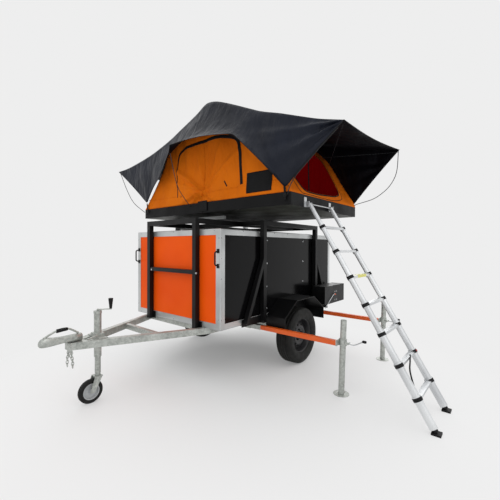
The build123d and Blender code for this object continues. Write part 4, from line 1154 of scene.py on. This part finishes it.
front, back, side, top, low = 1.140, -1.110, 0.700, 1.495, 0.571
end_faces = ((front, (1, 0, 0)), (back, (-1, 0, 0)))
rivets, screws = [], []
for way in (-1, 1):
    y, facing = way * side, (0, way, 0)
    for z in (top, low):
        rivets += row((back + 0.05, y, z), (front - 0.05, y, z), facing, 0.27)
    for x in (back + 0.013, front - 0.013):
        rivets += row((x, y, 0.66), (x, y, 1.42), facing, 0.19)
    for x, end_facing in end_faces:
        rivets += row((x, y * 0.975, 0.66), (x, y * 0.975, 1.42), end_facing, 0.25)
for z in (top, low):
    for x, end_facing in end_faces:
        rivets += row((x, -0.62, z), (x, 0.62, z), end_facing, 0.31)
for xs, zs in (((-0.345, 0.425), (1.412, 1.16, 0.905, 0.667)), ((-0.86, -0.79, 0.55, 0.62), (0.575,))):
    screws += [(at(x, way * side, z), (0, way, 0), (1, 0, 0)) for way in (1, -1) for x in xs for z in zs]
screws += [(at(1.195, y, 1.083), (1, 0, 0), (0, 0, 1)) for y in (-0.33, 0.423)]
grow("box_rivets", zinc_heads, rivets, "trailer", "profile_aluminium",
     Head_radius=0.0042, Head_height=0.0022, Washer=1.5)
grow("plate_screws", zinc_heads, screws, "trailer", "galvanised",
     Head_radius=0.0075, Head_height=0.0036, Washer=1.35)
print(len(rivets), "rivets and", len(screws), "screws")

# %% [markdown]
# A wheel is a lathe job: one half section, turned once round the axle. The tyre's section has shoulders,
# a bead and moulded rings on its wall, and grooves round the tread. The small bars of the tread repeat,
# so a tree sets them round it.

# %% Turning on a lathe
def lathe(tools, section, middle, steps=96):
    """Turns a closed section of (across, radius) points once about the Y axis through middle."""
    rings = []
    for step in range(steps):
        angle = 2 * math.pi * step / steps
        c, s = math.cos(angle), math.sin(angle)
        rings.append([tools.verts.new((middle[0] + radius * c, middle[1] + across, middle[2] + radius * s))
                      for across, radius in section])
    bridge(tools, rings + rings[:1])


def bridge(tools, rings):
    """Joins closed rings of points to their neighbours by smooth quads."""
    for a, b in zip(rings, rings[1:]):
        for i in range(len(a)):
            j = (i + 1) % len(a)
            tools.faces.new([a[i], a[j], b[j], b[i]]).smooth = True


def hung(name, tools, material, on, stands_for=()):
    """A piece from finished mesh tools, riding on a named body or on the same body as a measured part."""
    body = on if on in frame["bodies"] else body_of(frame["nodes"][on])[0]
    return piece_of(name, mesh_of(name, tools), [material], body, stands_for)


def turned(name, section, middle, material, body, stands_for, steps=96):
    """One piece turned from one closed section."""
    made = bmesh.new()
    lathe(made, section, middle, steps)
    turn_out(made)
    return hung(name, made, material, body, stands_for)


def spokes(count, start=0.0):
    """Directions spread evenly round the axle."""
    return [Vector((math.cos(a), 0, math.sin(a))) for a in (2 * math.pi * n / count + start for n in range(count))]


print("the first of five spokes points along", spokes(5)[0])

# %% [markdown]
# The tyre is listed as one side of its section, from the bead out to the middle groove, and closed with
# its own mirror image.

# %% Tyres
tyre_side = [(0.066, 0.190), (0.079, 0.193), (0.084, 0.204), (0.088, 0.214), (0.0915, 0.222), (0.0925, 0.226),
             (0.0955, 0.236), (0.0970, 0.250), (0.0972, 0.262), (0.0950, 0.275), (0.0935, 0.279), (0.0925, 0.280),
             (0.0905, 0.289), (0.085, 0.301), (0.077, 0.3105), (0.066, 0.3155), (0.053, 0.3168), (0.0515, 0.3095),
             (0.0455, 0.3095), (0.044, 0.3174), (0.020, 0.3178), (0.0185, 0.3102), (0.0125, 0.3102), (0.011, 0.3179)]
tyre_section = [(-across, radius) for across, radius in tyre_side] + tyre_side[::-1]
half_track, wheel_z = 0.825, 0.318
hubs = {side_name: at(0, sign * half_track, wheel_z) for side_name, sign in sides.items()}
# Each row of bars has a place across the tread, a radius and a slant.
bar_rows = [(0.0655, 0.3125, 0.25), (-0.0655, 0.3125, -0.25)]
bar_rows += [(across, 0.3128, 0) for across in (-0.0485, -0.0155, 0.0155, 0.0485)]


def bar_tree(name, material):
    """A tree that sets a slim block, longer than wide, on each point."""
    tree, sizes = new_tree(name, Length=0.02, Width=0.004, Height=0.003)
    unit = node(tree, "GeometryNodeMeshCube", {"Size": (1, 1, 1)}).outputs[0]
    unit = scaled(tree, unit, sizes["Length"], sizes["Width"], sizes["Height"])
    return set_on_points(tree, sizes["Geometry"], unit, material)


tread = bar_tree("tread_bars", rubber)
for side_name, hub in hubs.items():
    body = f"wheel_{side_name}"
    turned(f"tyre_road_{side_name}", tyre_section, hub, rubber, body, [f"tyre_{side_name}"])
    bars = [(hub + out * radius + Vector((0, across, 0)), out + Vector((0, slant, 0)), (0, 1, 0))
            for out in spokes(90) for across, radius, slant in bar_rows]
    grow(f"tread_{side_name}", tread, bars, body, "road_tyre", Length=0.012, Width=0.008, Height=0.006)
print("tyres turned with", len(bars), "tread bars each")

# %% [markdown]
# The rim is a turned barrel with a pressed disc in it, and the brake drum shows behind its holes. The
# disc is a pattern piece like the cloth: a circle with twelve oval holes, pressed into a dish by its
# place function, and then given its thickness.

# %% The pressed disc
dish = [(0.030, 0.030), (0.045, 0.031), (0.072, 0.032), (0.085, 0.040), (0.105, 0.043), (0.130, 0.030),
        (0.150, 0.014), (0.1640, 0.012)]
hole_count, hole_circle = 12, 0.126


def oval(radius, middle=(0, 0), count=60, stretch=1.0, turn=0.0):
    """A circle, or an oval that is longer along its turn, as points."""
    aim = Matrix.Rotation(turn, 2)
    return [tuple(Vector(middle) + aim @ Vector((radius * stretch * math.cos(a), radius * math.sin(a))))
            for a in np.linspace(0, 2 * math.pi, count, endpoint=False)]


def disc(hub, sign):
    """The pressed disc of one wheel, as a mesh with thickness."""
    sheet = bmesh.new()
    holes = [oval(0.028, count=24)]
    for number in range(hole_count):
        angle = 2 * math.pi / hole_count * (number + 0.5)
        middle = (hole_circle * math.cos(angle), hole_circle * math.sin(angle))
        holes.append(oval(0.0105, middle, 16, 1.45, angle + math.pi / 2))
    radii, depths = zip(*dish)

    def place(u, v, free):
        return hub + Vector((u, sign * float(np.interp(math.hypot(u, v), radii, depths)), v))

    cut_cloth(sheet, oval(radii[-1], count=96), holes, 0.0075, place)
    face_outwards(sheet, hub - Vector((0, sign, 0)))
    return thickened("disc", mesh_of("disc", sheet), 0.004)


print("the disc is dished by", dish[4][1], "m at its deepest")

# %% [markdown]
# A silver cap covers the bearing, and five nuts stand round it.

# %% Rims, caps and nuts
barrel = [(-0.068, 0.1975), (-0.0655, 0.191), (-0.060, 0.1855), (-0.046, 0.184), (-0.036, 0.166), (0.020, 0.166),
          (0.046, 0.184), (0.060, 0.1855), (0.0655, 0.191), (0.068, 0.1975), (0.0705, 0.1965), (0.0690, 0.1885),
          (0.062, 0.1815), (0.048, 0.180), (0.023, 0.1620), (-0.039, 0.1620), (-0.048, 0.180), (-0.062, 0.1815),
          (-0.0690, 0.1885), (-0.0705, 0.1965)]
drum = [(-0.142, 0.002), (-0.142, 0.045), (-0.120, 0.060), (-0.078, 0.064), (-0.072, 0.132), (-0.030, 0.135),
        (-0.026, 0.128), (-0.020, 0.060), (0.020, 0.040), (0.034, 0.036), (0.034, 0.002)]
cap = [(0.020, 0.002), (0.020, 0.0305), (0.036, 0.0310), (0.040, 0.0275), (0.062, 0.0262), (0.074, 0.0225),
       (0.0800, 0.0140), (0.0815, 0.002)]
wheel_nuts = head_tree("wheel_nuts", black_coat)
nut_circle = 0.056
for side_name, sign in sides.items():
    hub, body, stands = hubs[side_name], f"wheel_{side_name}", [f"rim_{side_name}"]
    on_side = [[(sign * across, radius) for across, radius in section] for section in (barrel, drum, cap)]
    rim = bmesh.new()
    for section in on_side[:2]:
        lathe(rim, section, hub)
    turn_out(rim)
    rim.from_mesh(disc(hub, sign))
    hung(f"rim_pressed_{side_name}", rim, wheel_paint, body, stands)
    turned(f"hub_cap_{side_name}", on_side[2], hub, bright_zinc, body, stands, steps=40)
    nuts = [(hub + out * nut_circle + Vector((0, sign * 0.037, 0)), (0, sign, 0), out) for out in spokes(5, 0.3)]
    grow(f"wheel_nuts_{side_name}", wheel_nuts, nuts, body, "black_paint",
         Head_radius=0.0095, Head_height=0.013, Washer=1.15, Sides=6)
print("rims with", len(nuts), "nuts and", hole_count, "holes each")

# %% [markdown]
# The coupling is a casting, and castings have no sharp edges: it narrows behind the ball socket and
# swells over it. Rounded sections, each with a half width, a top and a bottom, are joined along X. The
# lever over it is bent wire with a moulded grip, and the crank has a moulded knob.

# %% Coupling
def cast_along(sections, count=28, square=3.2):
    """A closed casting through rounded sections of (x, half width, top, bottom), in trailer metres."""
    tools, rings = bmesh.new(), []
    for x, half_width, top_z, low_z in sections:
        ring = []
        for a in np.linspace(0, 2 * math.pi, count, endpoint=False):
            c, s = math.cos(a), math.sin(a)
            reach = (abs(c) ** square + abs(s) ** square) ** (-1 / square)
            z = (top_z + low_z) / 2 + (top_z - low_z) / 2 * s * reach
            ring.append(tools.verts.new(at(x, half_width * c * reach, z)))
        rings.append(ring)
    bridge(tools, rings)
    tools.faces.new(rings[0])
    tools.faces.new(rings[-1][::-1])
    turn_out(tools)
    return tools


casting = cast_along([(2.0785, 0.034, 0.618, 0.558), (2.14, 0.034, 0.616, 0.560), (2.22, 0.033, 0.614, 0.562),
                      (2.28, 0.036, 0.618, 0.558), (2.31, 0.0395, 0.624, 0.5565), (2.345, 0.0395, 0.628, 0.556),
                      (2.37, 0.034, 0.618, 0.558), (2.383, 0.024, 0.604, 0.562), (2.3895, 0.010, 0.590, 0.574)])
hung("coupling_casting", casting, zinc, "coupling_head", ["coupling_head"])
lever = wire([smooth_line([(2.355, 0, 0.625), (2.31, 0, 0.648), (2.26, 0, 0.668), (2.20, 0, 0.674), (2.16, 0, 0.662),
                           (2.10, 0, 0.622)], 40)], 0.0078, 4)
hung("coupling_lever", lever, zinc, "coupling_handle", ["coupling_handle"])
grip = cast_along([(2.180, 0.008, 0.678, 0.662), (2.184, 0.0145, 0.683, 0.657), (2.22, 0.0165, 0.684, 0.654),
                   (2.262, 0.0145, 0.680, 0.650), (2.267, 0.008, 0.672, 0.656)], 24, 2.2)
hung("coupling_grip", grip, black_moulding, "coupling_handle", ["coupling_handle"])


def cap_edges(edges):
    """The edges that run round the many-sided ends of a cone."""
    return [edge for edge in edges if any(len(face.verts) > 4 for face in edge.link_faces)]


knob = bmesh.new()
bmesh.ops.create_cone(knob, cap_ends=True, segments=32, radius1=0.0105, radius2=0.0205, depth=0.0925,
                      matrix=Matrix.Translation(at(1.852, 0.056, 0.8384)))
bmesh.ops.bevel(knob, geom=cap_edges(knob.edges), offset=0.0035, segments=3, affect="EDGES", profile=0.5)
hung("crank_grip", knob, black_moulding, "jockey_tube")
print("coupling cast, lever and crank gripped")

# %% [markdown]
# A chain is one link repeated with every second link turned. The tree bends a circle into a link and
# gives it a round section, and the points along the chain say which way each link faces.

# %% Safety chains
def link_tree(name, material):
    """A tree that sets one oval link on each point. Long and Wide are measured along the link's centre line."""
    tree, sizes = new_tree(name, Long=0.026, Wide=0.014, Wire=0.0028)
    ring, section = (node(tree, "GeometryNodeCurvePrimitiveCircle", {"Resolution": corners, "Radius": radius},
                          mode="RADIUS").outputs[0] for corners, radius in ((20, 0.5), (8, sizes["Wire"])))
    ring = scaled(tree, ring, sizes["Long"], sizes["Wide"], 1.0)
    link = node(tree, "GeometryNodeCurveToMesh", {"Curve": ring, "Profile Curve": section}).outputs[0]
    smooth = node(tree, "GeometryNodeSetShadeSmooth", {"Geometry": link}).outputs[0]
    return set_on_points(tree, sizes["Geometry"], smooth, material)


def chain(path, pitch):
    """Places of the links along a path: each points along it, and every second one is turned by a quarter."""
    spots = smooth_line(path, max(3, round(walk(smooth_line(path, 200))[-1] / pitch) + 1))
    places = []
    for number, (spot, way) in enumerate(zip(spots, np.gradient(spots, axis=0))):
        way = Vector(way).normalized()
        across = Vector((1, 0, 0)) if number % 2 else way.cross(Vector((1, 0, 0))).normalized()
        places.append((at(*spot), across, way))
    return places


chain_x, link_pitch = 2.165, 0.0225
links = []
for sign, foot in ((-1, 0.358), (1, 0.372)):
    strand = ((0.026, 0.515), (0.034, 0.46), (0.052, 0.41), (0.054, foot))
    links += chain([(chain_x, sign * y, z) for y, z in strand], link_pitch)
turns = np.linspace(0, 2 * math.pi, 40)
ring = [(chain_x + 0.006 * math.sin(a), 0.030 * math.cos(a), 0.468 + 0.042 * math.sin(a)) for a in turns]
hung("chain_ring", wire([ring], 0.0042), zinc, "safety_chains", ["safety_chains"])
grow("chain_links", link_tree("links", zinc), links, "trailer", "galvanised", ["safety_chains"],
     Long=0.033, Wide=0.019, Wire=0.0028)
print(len(links), "chain links")

# %% [markdown]
# The mudguards are folded from sheet, so their outer edge carries a rolled lip, and the box side behind
# each tyre is closed by a flat liner.

# %% Mudguard lips and liners
guard = [(0.436, 0.456), (0.436, 0.588), (0.195, 0.750), (-0.195, 0.750), (-0.436, 0.588), (-0.436, 0.456)]
for side_name, sign in sides.items():
    lip = wire([[(x * 0.992, sign * 0.9445, z - 0.003) for x, z in guard]], 0.0032)
    hung(f"mudguard_lip_{side_name}", lip, black_moulding, "trailer")
    liner = bmesh.new()
    inner, outer = ([liner.verts.new(at(x * 0.985, sign * y, z - 0.002)) for x, z in guard] for y in (0.7015, 0.7045))
    liner.faces.new(inner)
    liner.faces.new(outer[::-1])
    for i in range(len(guard)):
        j = (i + 1) % len(guard)
        liner.faces.new([inner[i], inner[j], outer[j], outer[i]])
    turn_out(liner)
    hung(f"mudguard_liner_{side_name}", liner, black_moulding, "trailer")
print("lips and liners on two mudguards")

# %% [markdown]
# Small fittings come next: zinc sleeves where the arms leave the chassis, a spring pin with an orange
# tip, and screws on the tool box.

# %% Fittings of the chassis
sleeves = bmesh.new()
for x in (0.485, -0.690):
    rounded_block(sleeves, at(x, 0.606, 0.4681), (0.052, 0.145, 0.052), 0.12)
hung("arm_sleeves", sleeves, zinc, "trailer")
pin = wire([smooth_line([(-0.500, 0.936, 0.560), (-0.52, 0.938, 0.575), (-0.735, 0.9415, 0.712),
                         (-0.765, 0.9415, 0.716)], 20)], 0.004)
hung("pin_rod", pin, bright_zinc, "trailer")
tip = bmesh.new()
rounded_block(tip, at(-0.775, 0.9415, 0.714), (0.034, 0.014, 0.015), 0.4, 3)
hung("pin_tip", tip, orange_coat, "trailer")
box_screws = [(at(x, 0.930, z), (0, 1, 0), (1, 0, 0)) for x in (-0.846, -0.80) for z in (0.746, 0.635)]
grow("tool_box_screws", zinc_heads, box_screws, "trailer", "galvanised",
     Head_radius=0.006, Head_height=0.003, Washer=1.3)
print("two sleeves, a pin and", len(box_screws), "box screws")

# %% [markdown]
# Each prop leg is held by a clamp whose lever is a bent rod with a moulded knob.

# %% Clamp levers
for name, x, y, z in (("front", 0.445, 1.767, 0.508), ("rear", -0.727, 1.735, 0.494)):
    bar = wire([smooth_line([(x, 1.630, 0.468), (x, 1.69, 0.466), (x, y, z)], 16)], 0.0052)
    hung(f"clamp_lever_{name}", bar, bright_zinc, f"leg_clamp_{name}")
    knob = bmesh.new()
    rounded_block(knob, at(x, y + 0.012, z + 0.003), (0.026, 0.040, 0.024), 0.45, 3)
    hung(f"clamp_knob_{name}", knob, black_moulding, f"leg_clamp_{name}")
print("two clamp levers")

# %% [markdown]
# The ladder is telescopic, so a moulded collar stands at each joint of its two rails, wider towards the
# foot. One release button is red, one rung carries a blank yellow strip, and a strap hangs at the foot.

# %% Ladder fittings
rail_top, rail_foot = at(0.40, 1.332, 1.736), at(0.40, 2.365, 0.0)
sections, rail_out, red_joint = 8, 0.215, 6
down = (rail_foot - rail_top).normalized()
upper_side = Vector((0, -down.z, down.y))
lean = Vector((0, 0, 1)).rotation_difference(down).to_matrix().to_4x4()


def collar_radius(number):
    """The collar's radius at one joint, counted from the top."""
    return 0.0250 + 0.0016 * number


def rail_spot(number, way):
    """A place on one of the two rails, at one joint."""
    return rail_top.lerp(rail_foot, number / sections) + Vector((way * rail_out, 0, 0))


collars = bmesh.new()
for number in range(1, sections):
    for way in (-1, 1):
        band = bmesh.ops.create_cone(collars, cap_ends=True, segments=40, radius1=collar_radius(number),
                                     radius2=collar_radius(number), depth=0.030,
                                     matrix=Matrix.Translation(rail_spot(number, way)) @ lean)
        bmesh.ops.bevel(collars, geom=cap_edges(edges_of(band["verts"])), offset=0.003, segments=2, affect="EDGES",
                        profile=0.5)
hung("ladder_collars", collars, black_moulding, "ladder")
button = (rail_spot(red_joint, -1) + upper_side * collar_radius(red_joint), upper_side, (1, 0, 0))
grow("ladder_buttons", head_tree("release_buttons", lamp_red), [button], "ladder", "lamp_red",
     Head_radius=0.009, Head_height=0.006, Washer=1.2)
strip_paint = finish("blank_strip", (214, 210, 104), (230, 226, 128), (0.4, 0.5))
strip = bmesh.new()
rounded_block(strip, rail_top.lerp(rail_foot, 3 / sections), (0.20, 0.0432, 0.0232), 0.06, 1)
hung("ladder_strip", strip, strip_paint, "ladder")
strap = wire([smooth_line([(0.34, 2.122, 0.448), (0.42, 2.140, 0.42), (0.50, 2.160, 0.36), (0.545, 2.215, 0.22),
                           (0.560, 2.262, 0.11)], 40)], 0.006)
hung("ladder_strap", strap, black_moulding, "ladder")
print(2 * (sections - 1), "ladder collars, a button, a strip and a strap")
